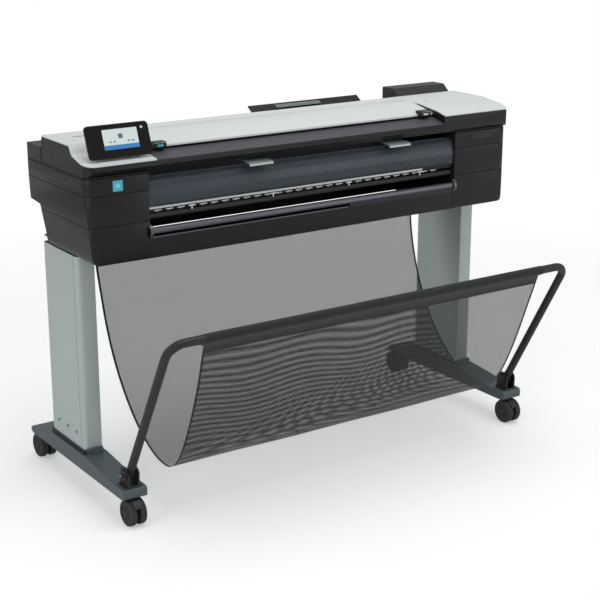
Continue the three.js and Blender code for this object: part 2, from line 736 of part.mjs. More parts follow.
function carriageRail() {
  const x1 = HALF - 14;
  const beam = block([BAY[0], x1], [RAIL_FRONT, RAIL_BACK], [RAIL_Z, RAIL_Z + RAIL_HEIGHT]);
  const hollow = block([BAY[0] - 1, x1 + 1], [RAIL_FRONT + SHEET, RAIL_BACK + 1],
    [RAIL_Z + SHEET, RAIL_Z + RAIL_HEIGHT - SHEET]);
  const idler = rodZ(PULLEY_RADIUS - 1, IDLER_X, PULLEY_Y,
    [RAIL_Z + RAIL_HEIGHT - 1, BELT_Z + BELT_WIDTH], 20);
  return union(cut(beam, hollow), idler);
}

function carriage() {
  const [x0, x1] = [CARRIAGE_X - CARRIAGE_WIDTH / 2, CARRIAGE_X + CARRIAGE_WIDTH / 2];
  const [z0, z1] = CARRIAGE_Z;
  return alongX([
    [CARRIAGE_FRONT, z0],
    [CARRIAGE_FRONT, z1 - 22, 6],
    [CARRIAGE_FRONT + 24, z1, 6],
    [RAIL_FRONT - GAP, z1],
    [RAIL_FRONT - GAP, z0 + 16],
    [RAIL_FRONT - 22, z0],
  ], x0, x1);
}

function driveBelt() {
  const loop = (radius) => {
    const shape = new THREE.Shape();
    shape.absarc(PULLEY_X, PULLEY_Y, radius, Math.PI / 2, 1.5 * Math.PI);
    shape.absarc(IDLER_X, PULLEY_Y, radius, -Math.PI / 2, Math.PI / 2);
    shape.closePath();
    return shape;
  };
  const belt = loop(PULLEY_RADIUS + GAP + BELT_THICKNESS);
  belt.holes.push(loop(PULLEY_RADIUS + GAP));
  return alongZ(belt, BELT_Z, BELT_Z + BELT_WIDTH, 8);
}

function motorPulley() {
  const wheel = rodZ(PULLEY_RADIUS, PULLEY_X, PULLEY_Y, [BELT_Z - 1, BELT_Z + BELT_WIDTH + 1], 20);
  const hub = rodZ(6, PULLEY_X, PULLEY_Y, [RAIL_Z + RAIL_HEIGHT + GAP, BELT_Z], 12);
  return union(wheel, hub);
}

function cutter() {
  const x0 = BAY_LEFT + 8;
  const [y0, y1] = [PLATEN_FRONT - 9, PLATEN_FRONT - GAP];
  return alongX([
    [y0, PRINT_Z - 14],
    [y1, PRINT_Z - 14],
    [y1, PRINT_Z + 8],
    [y0 + 4, PRINT_Z + 8],
  ], x0, x0 + 36);
}

function serviceStation() {
  const [x0, x1] = [CARRIAGE_X - CARRIAGE_WIDTH / 2, CARRIAGE_X + CARRIAGE_WIDTH / 2];
  const tray = block([x0, x1], [CARRIAGE_FRONT, CARRIAGE_FRONT + 120], [PAN_TOP + GAP, PRINT_Z - 2]);
  const well = block([x0 + SHELL, x1 - SHELL],
    [CARRIAGE_FRONT + SHELL, CARRIAGE_FRONT + 120 - SHELL], [PAN_TOP + 8, PRINT_Z]);
  const caps = [-30, 0, 30].map((shift) => block(
    [CARRIAGE_X + shift - 9, CARRIAGE_X + shift + 9],
    [CARRIAGE_FRONT + 20, CARRIAGE_FRONT + 95],
    [PAN_TOP + 7, PRINT_Z + 3]));
  return union(cut(tray, well), ...caps);
}

function electronicsBox() {
  const [x0, x1] = [-HALF + 40, BAY_LEFT - 20];
  const [z0, z1] = [PAN_TOP + GAP, BASE_Z + BODY_HEIGHT - 60];
  const casing = block([x0, x1], [30, LOWER_DEPTH - 30], [z0, z1]);
  const inside = block([x0 + 1.5, x1 + 1], [31.5, LOWER_DEPTH - 31.5], [z0 + 1.5, z1 - 1.5]);
  return cut(casing, inside);
}

function rollSpindle() {
  const [x0, x1] = BAY;
  const shaft = rodX(SPINDLE_RADIUS, [x0 + 3, x1 - 3], SPINDLE_Y, SPINDLE_Z, 16);
  const journals = rodX(6, [x0 - SHEET, x1 + SHEET], SPINDLE_Y, SPINDLE_Z, 12);
  const hubs = [[x0 + 18, 1], [x1 - 18, -1]].flatMap(([x, inwards]) => [
    rodX(HUB_RADIUS, [Math.min(x, x + 10 * inwards), Math.max(x, x + 10 * inwards)],
      SPINDLE_Y, SPINDLE_Z, 24),
    rodX(HUB_RADIUS - 12, [Math.min(x, x + 34 * inwards), Math.max(x, x + 34 * inwards)],
      SPINDLE_Y, SPINDLE_Z, 20),
  ]);
  return union(shaft, journals, ...hubs);
}

function rollCover() {
  const [x0, x1] = [BAY_LEFT + EDGE_GAP, BAY_RIGHT - EDGE_GAP];
  const skin = alongX(band([
    [TOWER_Y + 4, TOWER_Z - 1.5],
    [BODY_DEPTH - 10, TOWER_Z - 1.5],
    [BODY_DEPTH - 1.5, TOWER_Z - 10],
    [BODY_DEPTH - 1.5, OVERHANG_Z + 5],
  ], SHELL), x0, x1);
  const knuckles = [[x0, BAY_LEFT - EDGE_GAP - SHEET], [x1, BAY_RIGHT + EDGE_GAP + SHEET]].map(
    ([edge, pinEnd]) => {
      const inwards = Math.sign(edge - pinEnd);
      const lug = [edge, edge + inwards * 6].sort((a, b) => a - b);
      const pin = [pinEnd, edge + inwards * 6].sort((a, b) => a - b);
      return union(
        rodX(6, lug, ROLL_HINGE_Y, ROLL_HINGE_Z, 12),
        rodX(3, pin, ROLL_HINGE_Y, ROLL_HINGE_Z, 12),
        block(lug, [ROLL_HINGE_Y - 5, ROLL_HINGE_Y + 5], [ROLL_HINGE_Z, TOWER_Z - 2]));
    });
  return union(skin, ...knuckles);
}

function sheetSupport() {
  const [x0, x1] = [0, BAY_RIGHT - 100];
  const [y0, y1] = [BODY_DEPTH - 52, BODY_DEPTH - 3];
  const blade = alongX(band([
    [y0, TOWER_Z + 4],
    [y0 + 20, TOWER_Z + 13],
    [y1, TOWER_Z + 32],
  ], 4), x0, x1);
  const barrel = rodX(4, [x0, x1], y0, TOWER_Z + 4 + GAP, 12);
  return union(blade, barrel);
}

function frontWindow() {
  const [x0, x1] = [BAY_LEFT + 1, BAY_RIGHT - 1];
  const pane = alongX(band([
    [WINDOW_HINGE_Y, WINDOW_HINGE_Z],
    [17, WINDOW_HINGE_Z - 10],
    [9, WINDOW_HINGE_Z - 26],
    [6, WINDOW_HINGE_Z - 46],
    [8, PRINT_Z + 15],
  ], SHELL), x0, x1);
  const pins = rodX(3, [BAY_LEFT - EDGE_GAP - SHEET, BAY_RIGHT + EDGE_GAP + SHEET],
    WINDOW_HINGE_Y, WINDOW_HINGE_Z, 12);
  return union(pane, pins);
}

/** A media guide flap under the scanner, centred on x. */
function guideFlap(x) {
  const [z0, z1] = [FLAP_HINGE_Z - 9, FLAP_HINGE_Z];
  const blade = alongX(band([
    [FLAP_HINGE_Y, z1 - 2],
    [-14, z0],
    [-18, z0 - 5],
  ], SHEET), x - 38, x + 38);
  const barrel = rodX(3, [x - 38, x + 38], FLAP_HINGE_Y, FLAP_HINGE_Z, 12);
  return union(blade, barrel);
}

function addMechanism() {
  add('platen', platen(), DARK_PLASTIC);
  add('feed_roller', roller(FEED_RADIUS, FEED_Y, FEED_Z, 20), RUBBER);
  add('output_roller', roller(OUTPUT_RADIUS, OUTPUT_Y, OUTPUT_Z, 16), RUBBER);
  add('starwheel_rail', starwheelRail(), STEEL);
  add('output_bar', outputBar(), STEEL);
  add('carriage_rail', carriageRail(), STEEL);
  add('carriage', carriage(), DARK_PLASTIC);
  add('drive_belt', driveBelt(), RUBBER);
  add('motor_pulley', motorPulley(), STEEL);
  add('cutter', cutter(), GREY_PLASTIC);
  add('service_station', serviceStation(), DARK_PLASTIC);
  add('electronics_box', electronicsBox(), STEEL);
  add('roll_spindle', rollSpindle(), DARK_PLASTIC);
  add('roll_cover', rollCover(), BODY_PLASTIC);
  add('sheet_support', sheetSupport(), DARK_PLASTIC);
  add('front_window', frontWindow(), SMOKED_GLASS);
  add('guide_flap_left', guideFlap(mix(BAY_LEFT, BAY_RIGHT, 0.325)), GREY_PLASTIC);
  add('guide_flap_right', guideFlap(mix(BAY_LEFT, BAY_RIGHT, 0.785)), GREY_PLASTIC);
}

// ---------------------------------------------------------------- scanner
const SCANNER_BACK = TOWER_Y - 1;
const FLOOR_Z = SEAM_Z + GAP;
const CHEEK_LAP = 1;

/** Side outline of the scanner's middle, moved inwards by d. */
function deckSide(d) {
  return [
    [4 + d, FLOOR_Z + d],
    [-6 + d, SEAM_Z + 14 + d / 2],
    [-6 + d, SEAM_Z + 25 - d / 2, d > 0 ? 0 : 4],
    [LID_FRONT, DECK_Z - d],
    [SCANNER_BACK - d, DECK_Z - d],
    [SCANNER_BACK - d, FLOOR_Z + d],
  ];
}

/** Top line of the white cap over each end of the scanner, front to back. */
const CAP_LEFT_LINE = [
  [-8, SEAM_Z + 31],
  [30, SEAM_Z + 36],
  [79, SEAM_Z + 49],
  [94, TOP_Z],
  [LID_BACK, TOP_Z],
];
const CAP_RIGHT_LINE = [
  [-2, SEAM_Z + 52],
  [35, SEAM_Z + 61],
  [119, TOP_Z],
  [LID_BACK, TOP_Z],
];

/** One end of the scanner under its cap, from x0 to x1, moved inwards by d. */
function cheek(capLine, x0, x1, d) {
  const drop = CAP_THICKNESS + GAP + d;
  const top = capLine.map(([y, z], i) => [i === 0 ? y + d : y, z - drop]);
  top[top.length - 1][0] = LID_BACK - d;
  return alongX([
    [4 + d, FLOOR_Z + d],
    [capLine[0][0] + d, SEAM_Z + 14 + d],
    ...top,
    [SCANNER_BACK - d, DECK_Z - d],
    [SCANNER_BACK - d, FLOOR_Z + d],
  ], x0, x1);
}

/** The plan of the scanner: rounded front corners, as on the body. */
function scannerPlan(d) {
  const reach = HALF - d;
  return alongZ([
    [-reach, -10 + d, CORNER - d],
    [reach, -10 + d, CORNER - d],
    [reach, SCANNER_BACK, 6],
    [-reach, SCANNER_BACK, 6],
  ], SEAM_Z - 1, TOP_Z + 1, 6);
}

function scannerBase() {
  const outer = union(
    alongX(deckSide(0), LID_LEFT - CHEEK_LAP, LID_RIGHT + CHEEK_LAP),
    cheek(CAP_LEFT_LINE, -HALF, LID_LEFT - GAP, 0),
    cheek(CAP_RIGHT_LINE, LID_RIGHT + GAP, HALF, 0)).intersect(scannerPlan(0));
  const inner = union(
    alongX(deckSide(SHELL), LID_LEFT - 4, LID_RIGHT + 4),
    cheek(CAP_LEFT_LINE, -HALF + SHELL, LID_LEFT - GAP - SHELL, SHELL),
    cheek(CAP_RIGHT_LINE, LID_RIGHT + GAP + SHELL, HALF - SHELL, SHELL)).intersect(scannerPlan(SHELL));
  const glassSeat = block(
    [LID_LEFT + 30 - GAP, LID_RIGHT - 30 + GAP],
    [GLASS_Y - GAP, GLASS_Y + GLASS_DEPTH + GAP],
    [DECK_Z - SHELL - 1, DECK_Z + 1]);
  const sockets = rodX(3 + RUNNING, [LID_LEFT - 5, LID_RIGHT + 5], LID_HINGE_Y, LID_HINGE_Z, 12);
  return cut(outer, inner, glassSeat, sockets);
}

/** The white skin over one end of the scanner. */
function cap(capLine, x0, x1) {
  const under = capLine.map(([y, z]) => [y, z - CAP_THICKNESS]).reverse();
  const skin = alongX([...capLine, ...under], x0, x1);
  return skin.intersect(scannerPlan(0));
}

function scannerLid() {
  const [x0, x1] = [LID_LEFT + EDGE_GAP, LID_RIGHT - EDGE_GAP];
  const edge = (d) => [
    [LID_FRONT + d, LID_EDGE_Z - (d > 0 ? 1 : 0)],
    [LID_FRONT + d, LID_EDGE_Z + 5 - d],
    [100, LID_BREAK_Z - d],
    [157, TOP_Z - d],
    [LID_BACK - d, TOP_Z - d, 3],
    [LID_BACK - d, LID_EDGE_Z - (d > 0 ? 1 : 0)],
  ];
  const shell = cut(alongX(edge(0), x0, x1), alongX(edge(SHELL), x0 + SHELL, x1 - SHELL));
  const pins = [[LID_LEFT - 3, x0 + 6], [x1 - 6, LID_RIGHT + 3]].map(
    (span) => rodX(3, span, LID_HINGE_Y, LID_HINGE_Z, 12));
  const tabs = [x0 + 18, x1 - 52].map((x) => block(
    [x, x + 34], [LID_FRONT - 14, LID_FRONT + 12], [LID_EDGE_Z + 1, LID_EDGE_Z + 14]));
  const sockets = rodX(3 + RUNNING, [x0 - 1, x1 + 1], SCAN_ROLLER[0], SCAN_ROLLER[1], 12);
  return cut(union(shell, ...pins, ...tabs), sockets);
}

const SCAN_ROLLER = [GLASS_Y + GLASS_DEPTH / 2, DECK_Z + SCAN_ROLLER_RISE];

function scanRoller() {
  const [y, z] = SCAN_ROLLER;
  const [x0, x1] = [LID_LEFT + EDGE_GAP, LID_RIGHT - EDGE_GAP];
  return union(
    rodX(SCAN_ROLLER_RADIUS, [x0 + 8, x1 - 8], y, z, 14),
    rodX(3, [x0 + GAP, x1 - GAP], y, z, 12));
}

function scannerGlass() {
  return block([LID_LEFT + 30, LID_RIGHT - 30], [GLASS_Y, GLASS_Y + GLASS_DEPTH],
    [DECK_Z - GLASS_THICKNESS, DECK_Z]);
}

function scanSensor() {
  return block([LID_LEFT + 26, LID_RIGHT - 26], [GLASS_Y + 4, GLASS_Y + GLASS_DEPTH - 4],
    [FLOOR_Z + SHELL + GAP, DECK_Z - GLASS_THICKNESS - 1]);
}

// ---------------------------------------------------------------- control panel
const LEAN = THREE.MathUtils.degToRad(PANEL_LEAN);
const PANEL_FOOT = [10, SEAM_Z + 41.5];
const PANEL_PIVOT = [42, SEAM_Z + 49];

/** A [depth, height] point on the leaning panel as [y, z]. */
function onPanel([depth, height]) {
  return [
    PANEL_FOOT[0] + height * Math.sin(LEAN) + depth * Math.cos(LEAN),
    PANEL_FOOT[1] + height * Math.cos(LEAN) - depth * Math.sin(LEAN),
  ];
}

/** A slab on the leaning panel with rounded corners, between two depths. */
function panelSlab(width, [low, high], [near, far], radius) {
  const slab = alongX([[near, low], [far, low], [far, high], [near, high]].map(onPanel),
    PANEL_X - width / 2, PANEL_X + width / 2);
  if (radius === 0) return slab;
  const face = prism([
    [-width / 2, low, radius],
    [width / 2, low, radius],
    [width / 2, high, radius],
    [-width / 2, high, radius],
  ], 2 * PANEL_THICKNESS + 60, 4);
  const punch = solidOf(face.translate(0, 0, -PANEL_THICKNESS - 30)
    .applyMatrix4(toY).applyMatrix4(new THREE.Matrix4().makeRotationX(-LEAN))
    .translate(PANEL_X, PANEL_FOOT[0], PANEL_FOOT[1]));
  return slab.intersect(punch);
}

const SCREEN_LOW = 22;
const SCREEN_SHIFT = 6;

function touchPanel() {
  const body = panelSlab(PANEL_WIDTH, [0, PANEL_HEIGHT], [0, PANEL_THICKNESS], 9);
  const seat = panelSlab(SCREEN_WIDTH + 2 * GAP,
    [SCREEN_LOW - GAP, SCREEN_LOW + SCREEN_HEIGHT + GAP], [-1, 2], 0).translate([SCREEN_SHIFT, 0, 0]);
  const reach = [PANEL_X - 60, PANEL_X + 60];
  const barrel = rodX(5, reach, ...PANEL_PIVOT, 14);
  const [y, z] = PANEL_PIVOT;
  const arm = block(reach, [y - 20, y], [z - 3, z + 5]);
  return cut(union(body, barrel, arm), seat);
}

function displayGlass() {
  return panelSlab(SCREEN_WIDTH, [SCREEN_LOW, SCREEN_LOW + SCREEN_HEIGHT], [0, 2 - GAP], 0)
    .translate([SCREEN_SHIFT, 0, 0]);
}

/** The left cap, with two ears that the control panel tilts between. */
function capLeft() {
  const [y, z] = PANEL_PIVOT;
  const ears = [PANEL_X - 66, PANEL_X + 60 + GAP].map((x) => union(
    rodX(7, [x, x + 6 - GAP], y, z, 14),
    block([x, x + 6 - GAP], [y - 7, y + 7], [z - 12, z])));
  const sockets = rodX(5 + GAP, [PANEL_X - 60 - GAP, PANEL_X + 60 + GAP], y, z, 14);
  return cut(union(cap(CAP_LEFT_LINE, -HALF, LID_LEFT - CHEEK_LAP - GAP), ...ears), sockets);
}

function addScanner() {
  add('scanner_base', scannerBase(), BODY_PLASTIC);
  add('scanner_cap_left', capLeft(), WHITE_PLASTIC);
  add('scanner_cap_right', cap(CAP_RIGHT_LINE, LID_RIGHT + CHEEK_LAP + GAP, HALF), WHITE_PLASTIC);
  add('scanner_lid', scannerLid(), WHITE_PLASTIC);
  add('scanner_glass', scannerGlass(), CLEAR_GLASS);
  add('scan_roller', scanRoller(), RUBBER);
  add('scan_sensor', scanSensor(), DARK_PLASTIC);
  add('touch_panel', touchPanel(), DARK_PLASTIC);
  add('display_glass', displayGlass(), CLEAR_GLASS);
}

// ---------------------------------------------------------------- ink and power
const INK_COVER_X = [BAY_RIGHT + 2, HALF - 2];

function inkCover() {
  const [y0, y1] = [TOWER_Y + 2, BODY_DEPTH - 2];
  const side = (d) => [
    [y0 + d, TOWER_Z + GAP - (d > 0 ? 1 : 0)],
    [y0 + d, TOWER_Z + 22 - d],
    [y0 + 34, TOWER_Z + INK_COVER_RISE - d],
    [y1 - d, TOWER_Z + INK_COVER_RISE - d, 4],
    [y1 - d, TOWER_Z + GAP - (d > 0 ? 1 : 0)],
  ];
  const [x0, x1] = INK_COVER_X;
  return cut(alongX(side(0), x0, x1), alongX(side(SHELL), x0 + SHELL, x1 - SHELL));
}

function cartridge(slot) {
  const pitch = (INK_BAY_X[1] - INK_BAY_X[0]) / 4;
  const centre = INK_BAY_X[0] + pitch * (slot + 0.5);
  const width = Math.min(CARTRIDGE_WIDTH, pitch - 2);
  return block([centre - width / 2, centre + width / 2],
    [INK_BAY_Y[0] + 4, INK_BAY_Y[1] - 4], [INK_FLOOR + GAP, INK_FLOOR + CARTRIDGE_HEIGHT]);
}

const SWITCH_X = INLET_X + 18;

function powerInlet() {
  const [w, h] = INLET_SIZE;
  const body = block([INLET_X - w / 2, INLET_X + w / 2], [BODY_DEPTH - 24, BODY_DEPTH + GAP],
    [INLET_Z - h / 2, INLET_Z + h / 2]);
  const flange = block([INLET_X - w / 2 - 3, INLET_X + w / 2 + 3], [BODY_DEPTH + GAP, BODY_DEPTH + 2],
    [INLET_Z - h / 2 - 3, INLET_Z + h / 2 + 3]);
  const socket = block([INLET_X - 26, INLET_X + 2], [BODY_DEPTH - 16, BODY_DEPTH + 3],
    [INLET_Z - 10, INLET_Z + 10]);
  const rockerWell = block([SWITCH_X - 7, SWITCH_X + 7], [BODY_DEPTH - 14, BODY_DEPTH + 3],
    [INLET_Z - 11.5, INLET_Z + 11.5]);
  const pinBore = rodX(1.5 + GAP, [SWITCH_X - 9, SWITCH_X + 9], BODY_DEPTH - 3, INLET_Z, 12);
  return cut(union(body, flange), socket, rockerWell, pinBore);
}

function powerSwitch() {
  const y = BODY_DEPTH - 3;
  const rocker = alongX([
    [y - 5, INLET_Z - 5],
    [y + 3, INLET_Z - 10],
    [y + 5, INLET_Z],
    [y + 7, INLET_Z + 9],
    [y - 5, INLET_Z + 5],
  ], SWITCH_X - 6.5, SWITCH_X + 6.5);
  return union(rocker, rodX(1.5, [SWITCH_X - 8.5, SWITCH_X + 8.5], y, INLET_Z, 12));
}

function addInkAndPower() {
  add('ink_cover', inkCover(), BODY_PLASTIC);
  Object.entries(INKS).forEach(([ink, color], slot) => {
    add(`ink_cartridge_${ink}`, cartridge(slot), finish(color, 0.4));
  });
  add('power_inlet', powerInlet(), DARK_PLASTIC);
  add('power_switch', powerSwitch(), DARK_PLASTIC);
}

addStand();
addCasing();
addMechanism();
addScanner();
addInkAndPower();

// The origin is the middle of the floor area that the plotter covers.
const extent = new THREE.Box3().setFromObject(plotter);
plotter.position.set(0, -(extent.min.y + extent.max.y) / 2, 0);

export default plotter;
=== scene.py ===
"""Looks of a castored wide roll plotter with a sheet scanner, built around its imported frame.

Every length is in metres, in the frame's own axes: +Z up, the front faces -Y.
"""

import logging
import math
from collections.abc import Callable, Sequence
from dataclasses import dataclass, field
from enum import Enum
from typing import Any

import bmesh
import bpy
from mathutils import Matrix, Vector


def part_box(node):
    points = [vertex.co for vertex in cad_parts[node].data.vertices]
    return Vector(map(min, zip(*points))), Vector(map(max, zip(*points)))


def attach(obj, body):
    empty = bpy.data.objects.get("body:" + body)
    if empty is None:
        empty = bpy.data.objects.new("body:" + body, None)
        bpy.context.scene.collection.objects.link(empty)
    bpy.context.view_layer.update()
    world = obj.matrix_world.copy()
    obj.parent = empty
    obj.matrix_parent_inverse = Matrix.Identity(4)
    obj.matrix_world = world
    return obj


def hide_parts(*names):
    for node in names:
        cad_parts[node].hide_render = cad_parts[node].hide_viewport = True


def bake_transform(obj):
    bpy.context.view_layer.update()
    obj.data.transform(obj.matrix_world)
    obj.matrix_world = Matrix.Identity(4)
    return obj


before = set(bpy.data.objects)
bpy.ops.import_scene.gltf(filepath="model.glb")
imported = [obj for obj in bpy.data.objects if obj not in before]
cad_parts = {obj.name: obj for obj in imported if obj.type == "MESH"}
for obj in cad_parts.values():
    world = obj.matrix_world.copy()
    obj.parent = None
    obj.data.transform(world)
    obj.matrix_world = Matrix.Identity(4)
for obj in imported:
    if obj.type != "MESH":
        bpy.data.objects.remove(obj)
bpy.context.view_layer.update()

LOG = logging.getLogger("plotter")
POINT = tuple[float, float]
TREE_ENDS = tuple[bpy.types.NodeTree, bpy.types.Node, bpy.types.Node]
MATERIAL_START = tuple[bpy.types.Material, bpy.types.NodeTree, bpy.types.Node]


# ------------------------------------------------------------------ small tools
class Axis(Enum):
    """The axis that an outline is run along or turned about."""

    X = 0
    Y = 1
    Z = 2

    def at(self, a: float, b: float, along: float) -> Vector:
        """The point at (a, b) across this axis and at along on it.

        Args:
            a: The place on the first axis across this one.
            b: The place on the second.
            along: The place on this axis.

        Returns:
            The point in X, Y and Z.
        """
        places = {Axis.X: (along, a, b), Axis.Y: (a, along, b), Axis.Z: (a, b, along)}
        return Vector(places[self])


class Side(Enum):
    """The plotter's two ends, by the sign of X."""

    LEFT = -1
    RIGHT = 1

    @property
    def word(self) -> str:
        """The side's name in a piece name.

        Returns:
            The word.
        """
        return self.name.lower()


def linear(color: Sequence[float]) -> tuple[float, float, float, float]:
    """A colour as seen, 0 to 255, as the linear colour that a shader takes.

    Args:
        color: Red, green and blue, 0 to 255.

    Returns:
        The linear colour, fully opaque.
    """
    parts = [part / 255 for part in color]
    made = [p / 12.92 if p <= 0.04045 else ((p + 0.055) / 1.055) ** 2.4 for p in parts]
    return (made[0], made[1], made[2], 1.0)


def rounded(corners: Sequence[Sequence[float]], steps: int = 6) -> list[POINT]:
    """Points of an outline whose corners are rounded.

    Args:
        corners: (a, b) or (a, b, radius) for each corner, in order.
        steps: How many pieces each rounded corner has.

    Returns:
        The outline's points.
    """
    points: list[POINT] = []
    for i, corner in enumerate(corners):
        here = Vector(corner[:2])
        radius = corner[2] if len(corner) > 2 else 0.0
        if radius <= 0:
            points.append((here.x, here.y))
            continue
        before = Vector(corners[i - 1][:2]) - here
        after = Vector(corners[(i + 1) % len(corners)][:2]) - here
        start, end = here + before.normalized() * radius, here + after.normalized() * radius
        for step in range(steps + 1):
            t = step / steps
            point = start * (1 - t) ** 2 + here * 2 * t * (1 - t) + end * t * t
            points.append((point.x, point.y))
    return points


def rectangle(a: POINT, b: POINT, radius: float = 0.0) -> list[list[float]]:
    """Corners of a rectangle from a span on each of two axes.

    Args:
        a: Its span on the first axis.
        b: Its span on the second.
        radius: The radius that goes with each corner.

    Returns:
        The four corners, each with the radius.
    """
    spots = [(a[0], b[0]), (a[1], b[0]), (a[1], b[1]), (a[0], b[1])]
    return [[x, y, radius] for x, y in spots]


def band(path: Sequence[POINT], thickness: float) -> list[POINT]:
    """The outline of a strip of one thickness along a path.

    Args:
        path: Its middle line.
        thickness: Its thickness.

    Returns:
        The outline's points.
    """
    points = [Vector(point) for point in path]
    sides: tuple[list[POINT], list[POINT]] = ([], [])
    for i, point in enumerate(points):
        along = points[min(i + 1, len(points) - 1)] - points[max(i - 1, 0)]
        normal = Vector((-along.y, along.x)).normalized() * thickness / 2
        sides[0].append(tuple(point + normal))
        sides[1].append(tuple(point - normal))
    return sides[0] + sides[1][::-1]


def bezier(points: Sequence[POINT], pieces: int) -> list[POINT]:
    """Points on a cubic curve given by its four control points.

    Args:
        points: The four control points.
        pieces: How many straight pieces it has.

    Returns:
        The points, both ends included.
    """
    p = [Vector(point) for point in points]
    curve = []
    for step in range(pieces + 1):
        t = step / pieces
        weights = ((1 - t) ** 3, 3 * t * (1 - t) ** 2, 3 * t * t * (1 - t), t**3)
        curve.append(tuple(sum((q * w for q, w in zip(p, weights)), Vector((0, 0)))))
    return curve


# ------------------------------------------------------------------ shading
def node(tree: bpy.types.NodeTree, kind: str, inputs: dict | None = None, **settings: Any) -> bpy.types.Node:
    """Adds a node and fills its inputs.

    Args:
        tree: The tree that the node joins.
        kind: The node's type name.
        inputs: A value or an output socket for each input, by name or number.
        **settings: The node's own properties.

    Returns:
        The new node.
    """
    made = tree.nodes.new(kind)
    for name, value in settings.items():
        setattr(made, name, value)
    for name, value in (inputs or {}).items():
        if isinstance(value, bpy.types.NodeSocket):
            tree.links.new(value, made.inputs[name])
        else:
            made.inputs[name].default_value = value
    return made


def shader_group(name: str, inputs: dict[str, str], outputs: dict[str, str]) -> TREE_ENDS:
    """Starts a shader node group.

    Args:
        name: The group's name.
        inputs: Each input's socket type, by name.
        outputs: Each output's socket type, by name.

    Returns:
        The tree, its input node and its output node.
    """
    tree = bpy.data.node_groups.new(name, "ShaderNodeTree")
    for way, sockets in (("INPUT", inputs), ("OUTPUT", outputs)):
        for label, kind in sockets.items():
            tree.interface.new_socket(name=label, in_out=way, socket_type=f"NodeSocket{kind}")
    return tree, tree.nodes.new("NodeGroupInput"), tree.nodes.new("NodeGroupOutput")


def moulding_group() -> bpy.types.NodeTree:
    """Moulded or painted surface: tone drift, fine texture and handling marks.

    Returns:
        The group's tree.
    """
    tree, given, out = shader_group(
        "moulding",
        {"Color": "Color", "Drift": "Float", "Roughness": "Float", "Spread": "Float", "Grain Scale": "Float"},
        {"Color": "Color", "Roughness": "Float", "Height": "Float"},
    )
    place = node(tree, "ShaderNodeTexCoord").outputs["Object"]
    tone = node(tree, "ShaderNodeTexNoise", {"Vector": place, "Scale": 5.0, "Detail": 4.0})
    fine = node(
        tree,
        "ShaderNodeTexNoise",
        {"Vector": place, "Scale": given.outputs["Grain Scale"], "Detail": 2.0},
    )
    marks = node(
        tree, "ShaderNodeTexNoise", {"Vector": place, "Scale": 23.0, "Detail": 6.0, "Distortion": 0.6}
    )
    drift = node(tree, "ShaderNodeMath", {0: tone.outputs["Fac"], 1: 0.5}, operation="SUBTRACT")
    speck = node(tree, "ShaderNodeMath", {0: fine.outputs["Fac"], 1: 0.5}, operation="SUBTRACT")
    both = node(tree, "ShaderNodeMath", {0: drift.outputs[0], 1: speck.outputs[0]}, operation="ADD")
    gain = node(
        tree,
        "ShaderNodeMath",
        {0: both.outputs[0], 1: given.outputs["Drift"], 2: 1.0},
        operation="MULTIPLY_ADD",
    )
    tinted = node(
        tree, "ShaderNodeVectorMath", {0: given.outputs["Color"], "Scale": gain.outputs[0]}, operation="SCALE"
    )
    swing = node(tree, "ShaderNodeMath", {0: marks.outputs["Fac"], 1: 0.5}, operation="SUBTRACT")
    rough = node(
        tree,
        "ShaderNodeMath",
        {0: swing.outputs[0], 1: given.outputs["Spread"], 2: given.outputs["Roughness"]},
        operation="MULTIPLY_ADD",
    )
    tree.links.new(tinted.outputs[0], out.inputs["Color"])
    tree.links.new(rough.outputs[0], out.inputs["Roughness"])
    tree.links.new(fine.outputs["Fac"], out.inputs["Height"])
    return tree


def dust_group() -> bpy.types.NodeTree:
    """Dust that settles low on the stand: a paler colour and a rougher surface near the floor.

    Returns:
        The group's tree.
    """
    tree, given, out = shader_group(
        "low_dust",
        {"Color": "Color", "Roughness": "Float", "Dust": "Color", "Top": "Float", "Amount": "Float"},
        {"Color": "Color", "Roughness": "Float"},
    )
    place = node(tree, "ShaderNodeTexCoord").outputs["Object"]
    height = node(tree, "ShaderNodeSeparateXYZ", {0: place}).outputs["Z"]
    fall = node(
        tree,
        "ShaderNodeMapRange",
        {"Value": height, "From Max": given.outputs["Top"], "To Min": 1.0, "To Max": 0.0},
    )
    patch = node(tree, "ShaderNodeTexNoise", {"Vector": place, "Scale": 60.0, "Detail": 5.0})
    share = node(tree, "ShaderNodeMath", {0: fall.outputs[0], 1: patch.outputs["Fac"]}, operation="MULTIPLY")
    mask = node(
        tree,
        "ShaderNodeMath",
        {0: share.outputs[0], 1: given.outputs["Amount"]},
        operation="MULTIPLY",
        use_clamp=True,
    )
    color = node(
        tree,
        "ShaderNodeMix",
        {0: mask.outputs[0], 6: given.outputs["Color"], 7: given.outputs["Dust"]},
        data_type="RGBA",
    )
    rough = node(
        tree,
        "ShaderNodeMath",
        {0: mask.outputs[0], 1: 0.35, 2: given.outputs["Roughness"]},
        operation="MULTIPLY_ADD",
    )
    tree.links.new(color.outputs[2], out.inputs["Color"])
    tree.links.new(rough.outputs[0], out.inputs["Roughness"])
    return tree


